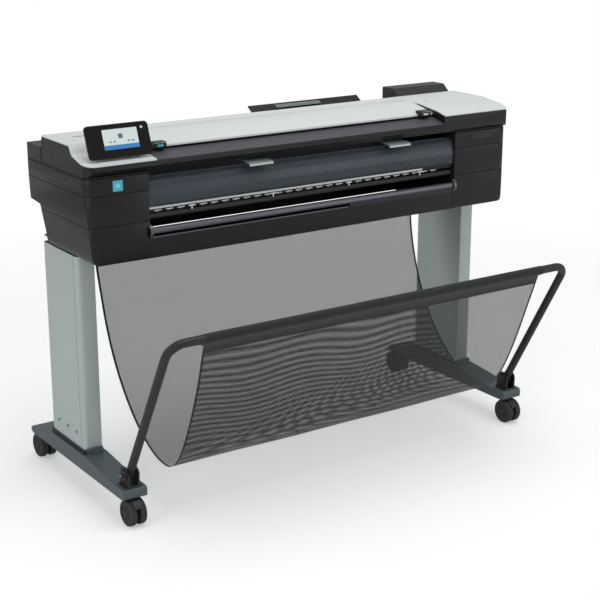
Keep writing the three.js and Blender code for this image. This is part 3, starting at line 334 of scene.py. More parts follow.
def brushing_group() -> bpy.types.NodeTree:
    """Fine lines along X, as on drawn or brushed metal.

    Returns:
        The group's tree.
    """
    tree, given, out = shader_group(
        "brushing",
        {"Color": "Color", "Roughness": "Float"},
        {"Color": "Color", "Roughness": "Float", "Height": "Float"},
    )
    place = node(tree, "ShaderNodeTexCoord").outputs["Object"]
    drawn = node(tree, "ShaderNodeMapping", {"Vector": place, "Scale": (6.0, 900.0, 900.0)})
    lines = node(tree, "ShaderNodeTexNoise", {"Vector": drawn.outputs[0], "Scale": 1.0, "Detail": 3.0})
    gain = node(tree, "ShaderNodeMapRange", {"Value": lines.outputs["Fac"], "To Min": 0.86, "To Max": 1.12})
    tinted = node(
        tree, "ShaderNodeVectorMath", {0: given.outputs["Color"], "Scale": gain.outputs[0]}, operation="SCALE"
    )
    swing = node(tree, "ShaderNodeMath", {0: lines.outputs["Fac"], 1: 0.5}, operation="SUBTRACT")
    rough = node(
        tree,
        "ShaderNodeMath",
        {0: swing.outputs[0], 1: 0.25, 2: given.outputs["Roughness"]},
        operation="MULTIPLY_ADD",
    )
    tree.links.new(tinted.outputs[0], out.inputs["Color"])
    tree.links.new(rough.outputs[0], out.inputs["Roughness"])
    tree.links.new(lines.outputs["Fac"], out.inputs["Height"])
    return tree


def thread_mask(tree: bpy.types.NodeTree, along: bpy.types.NodeSocket, pitch: bpy.types.NodeSocket,
                cover: bpy.types.NodeSocket) -> bpy.types.NodeSocket:
    """1 on the threads that cross one direction of a cloth and 0 between them.

    Args:
        tree: The tree that the nodes join.
        along: The place across the threads.
        pitch: From one thread to the next.
        cover: A thread's share of the pitch.

    Returns:
        The mask.
    """
    turns = node(tree, "ShaderNodeMath", {0: along, 1: pitch}, operation="DIVIDE")
    wave = node(tree, "ShaderNodeMath", {0: turns.outputs[0], 1: 0.5}, operation="PINGPONG")
    half = node(tree, "ShaderNodeMath", {0: cover, 1: 0.5}, operation="MULTIPLY")
    return node(
        tree, "ShaderNodeMath", {0: wave.outputs[0], 1: half.outputs[0]}, operation="LESS_THAN"
    ).outputs[0]


def netting_group() -> bpy.types.NodeTree:
    """Open square netting on a UV map in metres, solid along its two side hems.

    Returns:
        The group's tree.
    """
    tree, given, out = shader_group(
        "netting",
        {"Color": "Color", "Pitch": "Float", "Cover": "Float", "Half Width": "Float", "Hem": "Float",
         "Middle": "Float", "Reach": "Float"},
        {"Color": "Color", "Mask": "Float", "Height": "Float"},
    )
    uv = node(tree, "ShaderNodeTexCoord").outputs["UV"]
    parts = node(tree, "ShaderNodeSeparateXYZ", {0: uv})
    warp, weft = (
        thread_mask(tree, parts.outputs[axis], given.outputs["Pitch"], given.outputs["Cover"])
        for axis in ("X", "Y")
    )
    net = node(tree, "ShaderNodeMath", {0: warp, 1: weft}, operation="MAXIMUM")
    far = node(tree, "ShaderNodeMath", {0: parts.outputs["X"]}, operation="ABSOLUTE")
    rim = node(
        tree,
        "ShaderNodeMath",
        {0: given.outputs["Half Width"], 1: given.outputs["Hem"]},
        operation="SUBTRACT",
    )
    hem = node(tree, "ShaderNodeMath", {0: far.outputs[0], 1: rim.outputs[0]}, operation="GREATER_THAN")
    sides = node(tree, "ShaderNodeMath", {0: net.outputs[0], 1: hem.outputs[0]}, operation="MAXIMUM")
    off = node(
        tree, "ShaderNodeMath", {0: parts.outputs["Y"], 1: given.outputs["Middle"]}, operation="SUBTRACT"
    )
    away = node(tree, "ShaderNodeMath", {0: off.outputs[0]}, operation="ABSOLUTE")
    sleeve = node(
        tree, "ShaderNodeMath", {0: away.outputs[0], 1: given.outputs["Reach"]}, operation="GREATER_THAN"
    )
    mask = node(tree, "ShaderNodeMath", {0: sides.outputs[0], 1: sleeve.outputs[0]}, operation="MAXIMUM")
    tone = node(tree, "ShaderNodeTexNoise", {"Vector": uv, "Scale": 7.0, "Detail": 3.0})
    gain = node(tree, "ShaderNodeMapRange", {"Value": tone.outputs["Fac"], "To Min": 0.8, "To Max": 1.2})
    tinted = node(
        tree, "ShaderNodeVectorMath", {0: given.outputs["Color"], "Scale": gain.outputs[0]}, operation="SCALE"
    )
    tree.links.new(tinted.outputs[0], out.inputs["Color"])
    tree.links.new(mask.outputs[0], out.inputs["Mask"])
    tree.links.new(net.outputs[0], out.inputs["Height"])
    return tree


GROUPS = {
    "moulding": moulding_group(),
    "dust": dust_group(),
    "brushing": brushing_group(),
    "netting": netting_group(),
}


def started(name: str, sockets: dict[str, Any]) -> MATERIAL_START:
    """A new material with its Principled node's own sockets filled.

    Args:
        name: The material's name.
        sockets: A value for each of its own sockets.

    Returns:
        The material, its tree and its Principled node.
    """
    material = bpy.data.materials.new(name)
    material.use_nodes = True
    tree = material.node_tree
    surface = tree.nodes["Principled BSDF"]
    for label, value in sockets.items():
        surface.inputs[label].default_value = value
    return material, tree, surface


def placed_group(tree: bpy.types.NodeTree, name: str, inputs: dict[str, Any]) -> bpy.types.Node:
    """A node that uses one of the shared groups.

    Args:
        tree: The tree that the node joins.
        name: The group's name in GROUPS.
        inputs: A value or an output socket for each input.

    Returns:
        The new node.
    """
    made = tree.nodes.new("ShaderNodeGroup")
    made.node_tree = GROUPS[name]
    for label, value in inputs.items():
        if isinstance(value, bpy.types.NodeSocket):
            tree.links.new(value, made.inputs[label])
        else:
            made.inputs[label].default_value = value
    return made


DUST_COLOR = (150, 150, 146)
DUST_TOP = 0.16
DUST_AMOUNT = 0.22


class Texture(Enum):
    """What covers a finish: moulded texture, dust over it, or brushed lines."""

    MOULDED = "moulded"
    DUSTY = "dusty"
    BRUSHED = "brushed"


@dataclass(frozen=True)
class Finish:
    """An opaque finish of plastic, paint, rubber or metal."""

    name: str
    color: tuple[int, int, int]
    roughness: float = 0.45
    metallic: float = 0.0
    specular: float = 0.5
    coat: float = 0.0
    texture: Texture = Texture.MOULDED
    drift: float = 0.12
    spread: float = 0.12
    grain_scale: float = 900.0
    bump: float = 0.00003
    glow: float = 0.0

    def material(self) -> bpy.types.Material:
        """The finish as a material, built the first time that it is asked for.

        Returns:
            The material.
        """
        known = bpy.data.materials.get(self.name)
        if known:
            return known
        own = {"Metallic": self.metallic, "Specular IOR Level": self.specular, "Coat Weight": self.coat}
        own |= {"Coat Roughness": 0.08, "Emission Color": linear(self.color), "Emission Strength": self.glow}
        material, tree, surface = started(self.name, own)
        color = linear(self.color)
        if self.texture is Texture.BRUSHED:
            base = placed_group(tree, "brushing", {"Color": color, "Roughness": self.roughness})
        else:
            given = {"Color": color, "Drift": self.drift, "Roughness": self.roughness}
            given |= {"Spread": self.spread, "Grain Scale": self.grain_scale}
            base = placed_group(tree, "moulding", given)
        top = base
        if self.texture is Texture.DUSTY:
            given = {"Color": base.outputs["Color"], "Roughness": base.outputs["Roughness"]}
            given |= {"Dust": linear(DUST_COLOR), "Top": DUST_TOP, "Amount": DUST_AMOUNT}
            top = placed_group(tree, "dust", given)
        bump = node(tree, "ShaderNodeBump", {"Height": base.outputs["Height"], "Distance": self.bump})
        tree.links.new(top.outputs["Color"], surface.inputs["Base Color"])
        tree.links.new(top.outputs["Roughness"], surface.inputs["Roughness"])
        tree.links.new(bump.outputs[0], surface.inputs["Normal"])
        return material


@dataclass(frozen=True)
class Glass:
    """A clear or smoked sheet, with faint wiping marks."""

    name: str
    color: tuple[int, int, int]
    roughness: float = 0.04
    see_through: float = 0.9
    alpha: float = 1.0

    def material(self) -> bpy.types.Material:
        """The sheet as a material, built the first time that it is asked for.

        Returns:
            The material.
        """
        known = bpy.data.materials.get(self.name)
        if known:
            return known
        own = {"Transmission Weight": self.see_through, "Alpha": self.alpha, "IOR": 1.45}
        material, tree, surface = started(self.name, own)
        given = {"Color": linear(self.color), "Drift": 0.05, "Roughness": self.roughness}
        given |= {"Spread": 0.05, "Grain Scale": 40.0}
        base = placed_group(tree, "moulding", given)
        tree.links.new(base.outputs["Color"], surface.inputs["Base Color"])
        tree.links.new(base.outputs["Roughness"], surface.inputs["Roughness"])
        return material


@dataclass(frozen=True)
class Netting:
    """The basket's open cloth."""

    name: str
    color: tuple[int, int, int]
    half_width: float
    length: float
    pitch: float = 0.0024
    cover: float = 0.46
    hem: float = 0.007
    rod_sleeve: float = 0.05
    bar_sleeve: float = 0.128

    def material(self) -> bpy.types.Material:
        """The cloth as a material, with its holes cut by Alpha.

        Returns:
            The material.
        """
        material, tree, surface = started(self.name, {"Roughness": 0.75, "Sheen Weight": 0.15})
        given = {"Color": linear(self.color), "Pitch": self.pitch, "Cover": self.cover}
        given |= {"Half Width": self.half_width, "Hem": self.hem}
        given["Middle"] = (self.length + self.rod_sleeve - self.bar_sleeve) / 2
        given["Reach"] = (self.length - self.rod_sleeve - self.bar_sleeve) / 2
        base = placed_group(tree, "netting", given)
        bump = node(tree, "ShaderNodeBump", {"Height": base.outputs["Height"], "Distance": 0.00003})
        tree.links.new(base.outputs["Color"], surface.inputs["Base Color"])
        tree.links.new(base.outputs["Mask"], surface.inputs["Alpha"])
        tree.links.new(bump.outputs[0], surface.inputs["Normal"])
        return material


Surface = Finish | Glass | Netting

CHARCOAL = Finish("charcoal_casing", (20, 20, 24), 0.36, specular=0.42, bump=0.00001)
CHARCOAL_LIGHT = Finish("charcoal_cover", (44, 46, 50), 0.42, specular=0.4, bump=0.00001)
SEAM_BLACK = Finish("seam_black", (12, 12, 14), 0.6, specular=0.3)
GLOSS_BLACK = Finish("gloss_black", (9, 10, 14), 0.12, specular=0.35, bump=0.0, spread=0.03)
SATIN_BLACK = Finish("satin_black", (16, 17, 19), 0.36, specular=0.4, bump=0.00001)
TUBE_BLACK = Finish("tube_paint", (9, 10, 12), 0.3, specular=0.55, texture=Texture.DUSTY, bump=0.00001)
HINGE_BLACK = Finish("hinge_black", (16, 17, 19), 0.4, texture=Texture.DUSTY)
WHEEL_BLACK = Finish("wheel_rubber", (24, 26, 28), 0.6, texture=Texture.DUSTY, bump=0.00006)
RUBBER = Finish("roller_rubber", (26, 26, 28), 0.75, bump=0.00008)
FOOT_SLATE = Finish("foot_paint", (38, 46, 50), 0.42, specular=0.45, texture=Texture.DUSTY)
LEG_GREY = Finish("leg_paint", (134, 151, 148), 0.42, metallic=0.1, specular=0.45, bump=0.00001, drift=0.05)
WHITE = Finish("cap_white", (229, 235, 233), 0.34, bump=0.00001, drift=0.03, spread=0.08)
RAMP_GREY = Finish("ramp_grey", (78, 78, 84), 0.5, drift=0.3, grain_scale=420.0, bump=0.00003)
FLAP_GREY = Finish("flap_grey", (112, 126, 124), 0.4, drift=0.06)
# Pale grey; on the sheet guides' front lips it is a painted highlight.
LIP_GREY = Finish("lip_grey", (205, 214, 212), 0.35, drift=0.04)
STEEL = Finish("drawn_steel", (150, 154, 158), 0.34, metallic=0.9, texture=Texture.BRUSHED)
# Near-white; on the rail's exit lip it is a painted highlight.
BRIGHT = Finish("bright_strip", (232, 236, 236), 0.3, metallic=0.25, texture=Texture.BRUSHED)
BAR_GREY = Finish("bar_grey", (104, 104, 112), 0.3, metallic=0.65, texture=Texture.BRUSHED)
# Painted shade: the dark colour of the recess at the exit bar's right end.
BAR_RECESS_PAINTED_SHADE = Finish("bar_dark", (52, 53, 57), 0.34, metallic=0.5, texture=Texture.BRUSHED)
DARK_STEEL = Finish("dark_steel", (62, 64, 68), 0.42, metallic=0.7, texture=Texture.BRUSHED, bump=0.0)
STICKER = Finish("sticker_blue", (84, 196, 214), 0.4, drift=0.04)
SCREEN_PALE = Finish("screen_pale", (196, 206, 206), 0.2, drift=0.02, bump=0.0, glow=0.35)
SCREEN_BLUE = Finish("screen_blue", (52, 120, 176), 0.2, drift=0.02, bump=0.0, glow=0.35)
SCREEN_MARK = Finish("screen_mark", (96, 108, 112), 0.2, drift=0.02, bump=0.0, glow=0.2)
PALE_MARK = Finish("pale_mark", (222, 228, 230), 0.4, drift=0.03)
INKS = {
    "cyan": Finish("ink_cyan", (30, 150, 196), 0.4),
    "magenta": Finish("ink_magenta", (190, 44, 110), 0.4),
    "yellow": Finish("ink_yellow", (226, 192, 40), 0.4),
    "black": Finish("ink_black", (28, 28, 30), 0.4),
}
SMOKED = Glass("smoked_window", (22, 28, 34), 0.06, see_through=0.0, alpha=0.4)
CLEAR = Glass("clear_glass", (190, 206, 210), 0.03, 0.95)


# ------------------------------------------------------------------ meshes
class Form:
    """A mesh in the making, whose parts may each have their own finish."""

    def __init__(self, place: Matrix | None = None) -> None:
        """Starts empty; place moves every point that is added.

        Args:
            place: What moves the points; nothing if left out.
        """
        self.bm = bmesh.new()
        self.place = place or Matrix.Identity(4)

    @classmethod
    def of_node(cls, name: str) -> "Form":
        """A merged copy of a frame node's mesh, with its flat faces joined up.

        Args:
            name: The node's name.

        Returns:
            The new form.
        """
        form = cls()
        form.bm.from_mesh(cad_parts[name].data)
        bmesh.ops.remove_doubles(form.bm, verts=form.bm.verts, dist=1e-6)
        bmesh.ops.dissolve_limit(
            form.bm, angle_limit=math.radians(0.6), verts=form.bm.verts, edges=form.bm.edges
        )
        for face in form.bm.faces:
            face.material_index = 0
        return form

    def _close(self, faces: list[bmesh.types.BMFace], slot: int) -> "Form":
        """Turns a closed set of new faces outwards and gives it a finish.

        Args:
            faces: The new faces.
            slot: The finish that they take.

        Returns:
            The form, for chaining.
        """
        bmesh.ops.recalc_face_normals(self.bm, faces=faces)
        for face in faces:
            face.material_index = slot
        return self

    def _vertex(self, point: Vector) -> bmesh.types.BMVert:
        """Adds a vertex, moved by the form's place.

        Args:
            point: Where it is before the move.

        Returns:
            The vertex.
        """
        return self.bm.verts.new(self.place @ point)

    def prism(self, points: Sequence[POINT], axis: Axis, span: POINT, slot: int = 0) -> "Form":
        """Adds an outline run along an axis.

        Args:
            points: The outline across the axis.
            axis: The axis it runs along.
            span: Where it starts and ends on that axis.
            slot: The finish that its faces take.

        Returns:
            The form, for chaining.
        """
        rings = [[self._vertex(axis.at(a, b, along)) for a, b in points] for along in span]
        faces = [self.bm.faces.new(ring) for ring in rings]
        for i in range(len(points)):
            corners = (rings[0][i - 1], rings[0][i], rings[1][i], rings[1][i - 1])
            faces.append(self.bm.faces.new(corners))
        return self._close(faces, slot)

    def slab(self, low: Sequence[float], high: Sequence[float], slot: int = 0, axis: Axis = Axis.Z,
             radius: float = 0.0) -> "Form":
        """Adds a slab between two corners, rounded in plan across an axis.

        Args:
            low: Its lowest corner.
            high: Its highest corner.
            slot: The finish that its faces take.
            axis: The axis that its rounded outline runs along.
            radius: The outline's corner radius.

        Returns:
            The form, for chaining.
        """
        across = [i for i in range(3) if i != axis.value]
        spans = [(low[i], high[i]) for i in across]
        outline = rounded(rectangle(spans[0], spans[1], radius))
        return self.prism(outline, axis, (low[axis.value], high[axis.value]), slot)

    def turned(self, profile: Sequence[POINT], centre: POINT, axis: Axis, sides: int = 32,
               slot: int = 0) -> "Form":
        """Adds a turned shape.

        Args:
            profile: (radius, along) points; it starts and ends on the axis, or is closed on itself.
            centre: The axis's place across itself.
            axis: The axis it is turned about.
            sides: How many sides it has.
            slot: The finish that its faces take.

        Returns:
            The form, for chaining.
        """
        rings = []
        for radius, along in profile:
            turns = sides if radius > 1e-7 else 1
            angles = [2 * math.pi * i / turns for i in range(turns)]
            spots = [(centre[0] + radius * math.cos(t), centre[1] + radius * math.sin(t)) for t in angles]
            rings.append([self._vertex(axis.at(a, b, along)) for a, b in spots])
        on_axis = len(rings[0]) == 1
        pairs = list(zip(rings, rings[1:])) + ([] if on_axis else [(rings[-1], rings[0])])
        faces = []
        for one, two in pairs:
            for i in range(sides):
                corners = [one[i - 1 if len(one) > 1 else 0], one[i if len(one) > 1 else 0]]
                corners += [two[i if len(two) > 1 else 0], two[i - 1 if len(two) > 1 else 0]]
                unique = list(dict.fromkeys(corners))
                if len(unique) > 2:
                    faces.append(self.bm.faces.new(unique))
        return self._close(faces, slot)

    def groove(self, axis: Axis, at: float, width: float, depth: float, centre: Vector, slot: int = 0,
               keep: Callable[[Vector], bool] | None = None) -> "Form":
        """Presses a V groove into the outside, in a plane across an axis.

        Args:
            axis: The axis that the groove's plane is square to.
            at: The plane's place on it.
            width: The groove's width.
            depth: The groove's depth.
            centre: A point inside the piece, which tells the outside from the inside.
            slot: The finish of the groove's faces.
            keep: Says which vertices may be pressed in; all of the outside if left out.

        Returns:
            The form, for chaining.
        """
        normal = Vector([1.0 if i == axis.value else 0.0 for i in range(3)])
        for shift in (-width / 2, 0.0, width / 2):
            everything = [*self.bm.verts, *self.bm.edges, *self.bm.faces]
            bmesh.ops.bisect_plane(
                self.bm, geom=everything, plane_co=normal * (at + shift), plane_no=normal, dist=1e-7
            )
        self.bm.normal_update()
        pressed = []
        for vertex in self.bm.verts:
            outwards = vertex.normal.dot((vertex.co - centre) - normal * (vertex.co - centre).dot(normal)) > 0
            if abs(vertex.co[axis.value] - at) < 1e-6 and outwards and (keep is None or keep(vertex.co)):
                pressed.append((vertex, vertex.normal.copy()))
        for vertex, way in pressed:
            vertex.co -= (way - normal * way.dot(normal)).normalized() * depth
            for face in vertex.link_faces:
                face.material_index = slot
        return self

    def piece(self, name: str, body: str, *finishes: Surface, bevel: float = 0.0, segments: int = 2,
              replaces: Sequence[str] = (), slot: str | None = None) -> bpy.types.Object:
        """Ends the form as an object that rides on a body.

        Args:
            name: The piece's name.
            body: The frame body that it moves with.
            *finishes: Its finishes, in the order of its parts' slots.
            bevel: The width of its rounded edges.
            segments: How many faces each rounded edge has.
            replaces: The frame nodes that it stands for.
            slot: Not used.

        Returns:
            The new object.
        """
        mesh = bpy.data.meshes.new(name)
        self.bm.to_mesh(mesh)
        self.bm.free()
        for finish in finishes:
            mesh.materials.append(finish.material())
        mesh.shade_smooth()
        mesh.set_sharp_from_angle(angle=math.radians(31))
        made = bpy.data.objects.new(name, mesh)
        bpy.context.scene.collection.objects.link(made)
        if bevel:
            rounding = made.modifiers.new("rounded_edges", "BEVEL")
            rounding.width = bevel
            rounding.segments = segments
            rounding.limit_method = "ANGLE"
            rounding.angle_limit = math.radians(31)
            rounding.harden_normals = True
        return settle(made, body, replaces)


def settle(made: bpy.types.Object, body: str, replaces: Sequence[str] = ()
           ) -> bpy.types.Object:
    """Puts a finished object on its body and hides the frame nodes that it stands for.

    Args:
        made: The finished object.
        body: The frame body that it moves with.
        replaces: The frame nodes that it stands for.

    Returns:
        The same object.
    """
    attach(made, body)
    if replaces:
        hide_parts(*replaces)
    LOG.info("made %s on %s", made.name, body)
    return made


def geometry_tree(name: str, inputs: dict[str, str]) -> TREE_ENDS:
    """Starts a Geometry Nodes tree with named inputs and a geometry output.

    Args:
        name: The tree's name.
        inputs: Each input's socket type, by name.

    Returns:
        The tree, its input node and its output node.
    """
    tree = bpy.data.node_groups.new(name, "GeometryNodeTree")
    for label, kind in {"Geometry": "Geometry", **inputs}.items():
        tree.interface.new_socket(name=label, in_out="INPUT", socket_type=f"NodeSocket{kind}")
    tree.interface.new_socket(name="Geometry", in_out="OUTPUT", socket_type="NodeSocketGeometry")
    return tree, tree.nodes.new("NodeGroupInput"), tree.nodes.new("NodeGroupOutput")


def row_tree() -> bpy.types.NodeTree:
    """Repeats a template object along a straight line.

    Returns:
        The tree.
    """
    tree, given, out = geometry_tree(
        "row_of_copies",
        {"Template": "Object", "Count": "Int", "Start": "Vector", "Step": "Vector", "Finish": "Material"},
    )
    line = node(
        tree,
        "GeometryNodeMeshLine",
        {
            "Count": given.outputs["Count"],
            "Start Location": given.outputs["Start"],
            "Offset": given.outputs["Step"],
        },
        mode="OFFSET",
    )
    one = node(tree, "GeometryNodeObjectInfo", {"Object": given.outputs["Template"]})
    copies = node(
        tree, "GeometryNodeInstanceOnPoints", {"Points": line.outputs[0], "Instance": one.outputs["Geometry"]}
    )
    real = node(tree, "GeometryNodeRealizeInstances", {0: copies.outputs[0]})
    dressed = node(
        tree,
        "GeometryNodeSetMaterial",
        {"Geometry": real.outputs[0], "Material": given.outputs["Finish"]},
    )
    tree.links.new(dressed.outputs[0], out.inputs[0])
    return tree


def pipe_tree() -> bpy.types.NodeTree:
    """Runs a round bar along a line of edges, with every corner bent to one radius.

    Returns:
        The tree.
    """
    tree, given, out = geometry_tree(
        "bent_pipe",
        {"Radius": "Float", "Bend": "Float", "Bend Steps": "Int", "Sides": "Int", "Finish": "Material"},
    )
    line = node(tree, "GeometryNodeMeshToCurve", {0: given.outputs["Geometry"]})
    bent = node(
        tree,
        "GeometryNodeFilletCurve",
        {"Curve": line.outputs[0], "Count": given.outputs["Bend Steps"], "Radius": given.outputs["Bend"]},
        mode="POLY",
    )
    ring = node(
        tree,
        "GeometryNodeCurvePrimitiveCircle",
        {"Resolution": given.outputs["Sides"], "Radius": given.outputs["Radius"]},
    )
    solid = node(
        tree,
        "GeometryNodeCurveToMesh",
        {"Curve": bent.outputs[0], "Profile Curve": ring.outputs[0], "Fill Caps": True},
    )
    real = node(tree, "GeometryNodeRealizeInstances", {0: solid.outputs[0]})
    dressed = node(
        tree,
        "GeometryNodeSetMaterial",
        {"Geometry": real.outputs[0], "Material": given.outputs["Finish"]},
    )
    tree.links.new(dressed.outputs[0], out.inputs[0])
    return tree


ROW_TREE = row_tree()
PIPE_TREE = pipe_tree()


def grown(name: str, mesh: bpy.types.Mesh, tree: bpy.types.NodeTree, inputs: dict[str, Any], finish: Surface
          ) -> bpy.types.Object:
    """Runs a Geometry Nodes tree once and keeps its result as a plain mesh.

    Args:
        name: The new piece's name.
        mesh: The mesh that the tree starts from.
        tree: The tree.
        inputs: Values for its named inputs.
        finish: The finish of the result.

    Returns:
        The new object, with no modifier left on it.
    """
    made = bpy.data.objects.new(name, mesh)
    bpy.context.scene.collection.objects.link(made)
    modifier = made.modifiers.new("growth", "NODES")
    modifier.node_group = tree
    for item in tree.interface.items_tree:
        if item.in_out == "INPUT" and item.name in inputs:
            modifier[item.identifier] = inputs[item.name]
        if item.in_out == "INPUT" and item.name == "Finish":
            modifier[item.identifier] = finish.material()
    depsgraph = bpy.context.evaluated_depsgraph_get()
    result = bpy.data.meshes.new_from_object(made.evaluated_get(depsgraph))
    made.modifiers.clear()
    made.data = result
    result.name = name
    if not result.materials:
        result.materials.append(finish.material())
    result.shade_smooth()
    result.set_sharp_from_angle(angle=math.radians(40))
    return made


def row(name: str, body: str, finish: Surface, template: Form, start: Sequence[float], step: Sequence[float],
        count: int) -> bpy.types.Object:
    """Makes a row of copies of a small form, modelled about the origin.

    Args:
        name: The piece's name.
        body: The frame body that it moves with.
        finish: Its finish.
        template: The form that is repeated.
        start: Where the first one stands.
        step: From one to the next.
        count: How many there are.

    Returns:
        The new object.
    """
    mesh = bpy.data.meshes.new(f"{name}_one")
    template.bm.to_mesh(mesh)
    template.bm.free()
    one = bpy.data.objects.new(f"{name}_one", mesh)
    bpy.context.scene.collection.objects.link(one)
    inputs = {"Template": one, "Count": count, "Start": tuple(start), "Step": tuple(step)}
    made = grown(name, bpy.data.meshes.new(f"{name}_start"), ROW_TREE, inputs, finish)
    bpy.data.objects.remove(one)
    return settle(made, body)


def pipe(name: str, body: str, finish: Surface, path: Sequence[Sequence[float]], radius: float, bend: float,
         replaces: Sequence[str] = (), sides: int = 20) -> bpy.types.Object:
    """Makes a round bar along a path with bent corners.

    Args:
        name: The piece's name.
        body: The frame body that it moves with.
        finish: Its finish.
        path: The corners of its middle line.
        radius: The bar's radius.
        bend: The middle line's radius at each corner.
        replaces: The frame nodes that it stands for.
        sides: How many sides its section has.

    Returns:
        The new object.
    """
    mesh = bpy.data.meshes.new(f"{name}_line")
    mesh.from_pydata([tuple(point) for point in path], [(i, i + 1) for i in range(len(path) - 1)], [])
    inputs = {"Radius": radius, "Bend": bend, "Bend Steps": 10, "Sides": sides}
    return settle(grown(name, mesh, PIPE_TREE, inputs, finish), body, replaces)


def screw(radius: float, height: float, axis: Axis, towards: int) -> Form:
    """A pan head with a hexagon socket, about the origin, standing towards one end of an axis.

    Args:
        radius: The head's radius.
        height: The head's height.
        axis: The axis it stands on.
        towards: 1 or -1, the way that it points.

    Returns:
        The head's form.
    """
    form = Form()
    profile = [(0, 0), (radius, 0), (radius, height * 0.5), (radius * 0.8, height)]
    profile += [(radius * 0.45, height), (radius * 0.4, height * 0.45), (0, height * 0.45)]
    return form.turned([(r, towards * z) for r, z in profile], (0, 0), axis, sides=12)


def dress(finish: Surface, *names: str) -> None:
    """Gives frame nodes that stay visible their finish.

    Args:
        finish: The finish.
        *names: The frame nodes.
    """
    for name in names:
        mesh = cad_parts[name].data
        mesh.materials.clear()
        mesh.materials.append(finish.material())
        LOG.info("dressed %s", name)


def middle(name: str) -> Vector:
    """The middle of a frame node's box.

    Args:
        name: The node's name.

    Returns:
        The middle point.
    """
    low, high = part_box(name)
    return (low + high) / 2


# ------------------------------------------------------------------ the stand
@dataclass
class Stand:
    """Legs, feet, casters and the cross brace."""

    hub_radius: float = 0.021
    cap_radius: float = 0.0085
    tread_groove: float = 0.0012

    def legs(self) -> None:
        """The two columns with their foot collars and fixing screws."""
        for side in Side:
            name = f"leg_{side.word}"
            Form.of_node(name).piece(
                f"column_{side.word}", "root", LEG_GREY, bevel=0.0008, replaces=[name], slot="leg_paint"
            )
            low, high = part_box(name)
            collar = Form()
            reach = 0.0032
            outline = rectangle((low.x - reach, high.x + reach), (low.y - reach, high.y + reach), 0.012)
            inner = rectangle((low.x + 0.0005, high.x - 0.0005), (low.y + 0.0005, high.y - 0.0005), 0.012)
            collar = self.frame_ring(rounded(outline), rounded(inner), (low.z, low.z + 0.011))
            collar.piece(f"collar_{side.word}", "root", SATIN_BLACK, bevel=0.0012)
            row(
                f"leg_screws_{side.word}", "root", STEEL,
                screw(0.0045, 0.0028, Axis.X, side.value),
                (high.x if side is Side.RIGHT else low.x, low.y + 0.05, low.z + 0.05),
                (0, 0.056, 0), 3,
            )

    @staticmethod
    def frame_ring(outer: Sequence[POINT], inner: Sequence[POINT], span: POINT) -> Form:
        """A ring between two outlines of as many points, run along Z.

        Args:
            outer: The outer outline.
            inner: The inner outline.
            span: Its lowest and highest Z.

        Returns:
            The ring's form.
        """
        form = Form()
        rings = [
            [form.bm.verts.new((x, y, z)) for x, y in points]
            for points, z in ((outer, span[0]), (outer, span[1]), (inner, span[1]), (inner, span[0]))
        ]
        faces = []
        for one, two in zip(rings, rings[1:] + rings[:1]):
            for i in range(len(one)):
                faces.append(form.bm.faces.new((one[i - 1], one[i], two[i], two[i - 1])))
        bmesh.ops.recalc_face_normals(form.bm, faces=faces)
        return form

    def feet(self) -> None:
        """The two feet."""
        for side in Side:
            name = f"foot_{side.word}"
            Form.of_node(name).piece(
                f"foot_beam_{side.word}", "root", FOOT_SLATE, bevel=0.003, segments=3, replaces=[name],
                slot="foot_paint",
            )

    def casters(self) -> None:
        """Each caster's fork with its hood, and its twin wheels with hubs and tread lines."""
        for side in Side:
            for end in ("front", "rear"):
                place = f"{end}_{side.word}"
                self.fork(place)
                self.wheels(place)

    def fork(self, place: str) -> None:
        """The fork and the curved hood over its wheels.

        Args:
            place: The caster's end and side, as its node's name has them.
        """
        node_name = f"caster_fork_{place}"
        low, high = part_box(node_name)
        wheel_low, wheel_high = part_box(f"caster_wheels_{place}")
        axle = ((wheel_low.y + wheel_high.y) / 2, (wheel_low.z + wheel_high.z) / 2)
        form = Form.of_node(node_name)
        radius = (wheel_high.z - wheel_low.z) / 2
        trail = math.copysign(1.0, axle[0] - (low.y + high.y) / 2)
        arc = [math.radians(a) for a in range(78, 26, -6)]
        outer, inner = radius + 0.0042, radius + 0.0018
        ring = [(axle[0] + trail * r * math.cos(t), axle[1] + r * math.sin(t))
                for r, turn in ((outer, arc), (inner, arc[::-1])) for t in turn]
        x = (low.x + high.x) / 2
        form.prism(ring, Axis.X, (x - 0.012, x + 0.012))
        form.piece(f"fork_{place}", f"caster_{place}", HINGE_BLACK, bevel=0.0009, replaces=[node_name],
                   slot="black_plastic")

    def wheels(self, place: str) -> None:
        """The pair of wheels on one axle.

        Args:
            place: The caster's end and side, as its node's name has them.
        """
        name = f"caster_wheels_{place}"
        low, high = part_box(name)
        x = (low.x + high.x) / 2
        centre = ((low.y + high.y) / 2, (low.z + high.z) / 2)
        radius, inner, outer = (high.z - low.z) / 2, 0.0056, (high.x - low.x) / 2
        tread, mid = self.tread_groove, (0.0056 + (high.x - low.x) / 2) / 2
        half = [
            (0.004, inner),
            (radius - 0.002, inner),
            (radius, inner + 0.002),
            (radius, mid - tread),
            (radius - tread, mid),
            (radius, mid + tread),
            (radius, outer - 0.006),
            (radius - 0.0015, outer - 0.003),
            (radius - 0.005, outer - 0.001),
            (self.hub_radius + 0.004, outer - 0.0008),
            (self.hub_radius + 0.002, outer - 0.004),
            (self.hub_radius - 0.002, outer - 0.005),
            (self.cap_radius + 0.003, outer - 0.004),
            (self.cap_radius, outer - 0.0002),
            (self.cap_radius - 0.002, outer),
            (0, outer),
        ]
        other = [(r, -across) for r, across in half][::-1]
        form = Form().turned([(r, x + across) for r, across in other + half], centre, Axis.X, sides=40)
        spokes = [math.radians(60 * i + 30) for i in range(6)]
        for sign in (-1, 1):
            for turn in spokes:
                a, b = centre[0] + 0.0145 * math.cos(turn), centre[1] + 0.0145 * math.sin(turn)
                span = sorted((x + sign * (outer - 0.0052), x + sign * (outer - 0.0028)))
                form.prism(self.spoke((a, b), turn), Axis.X, (span[0], span[1]))
        form.piece(f"wheels_{place}", f"wheels_{place}", WHEEL_BLACK, bevel=0.0004, replaces=[name],
                   slot="wheel_rubber")

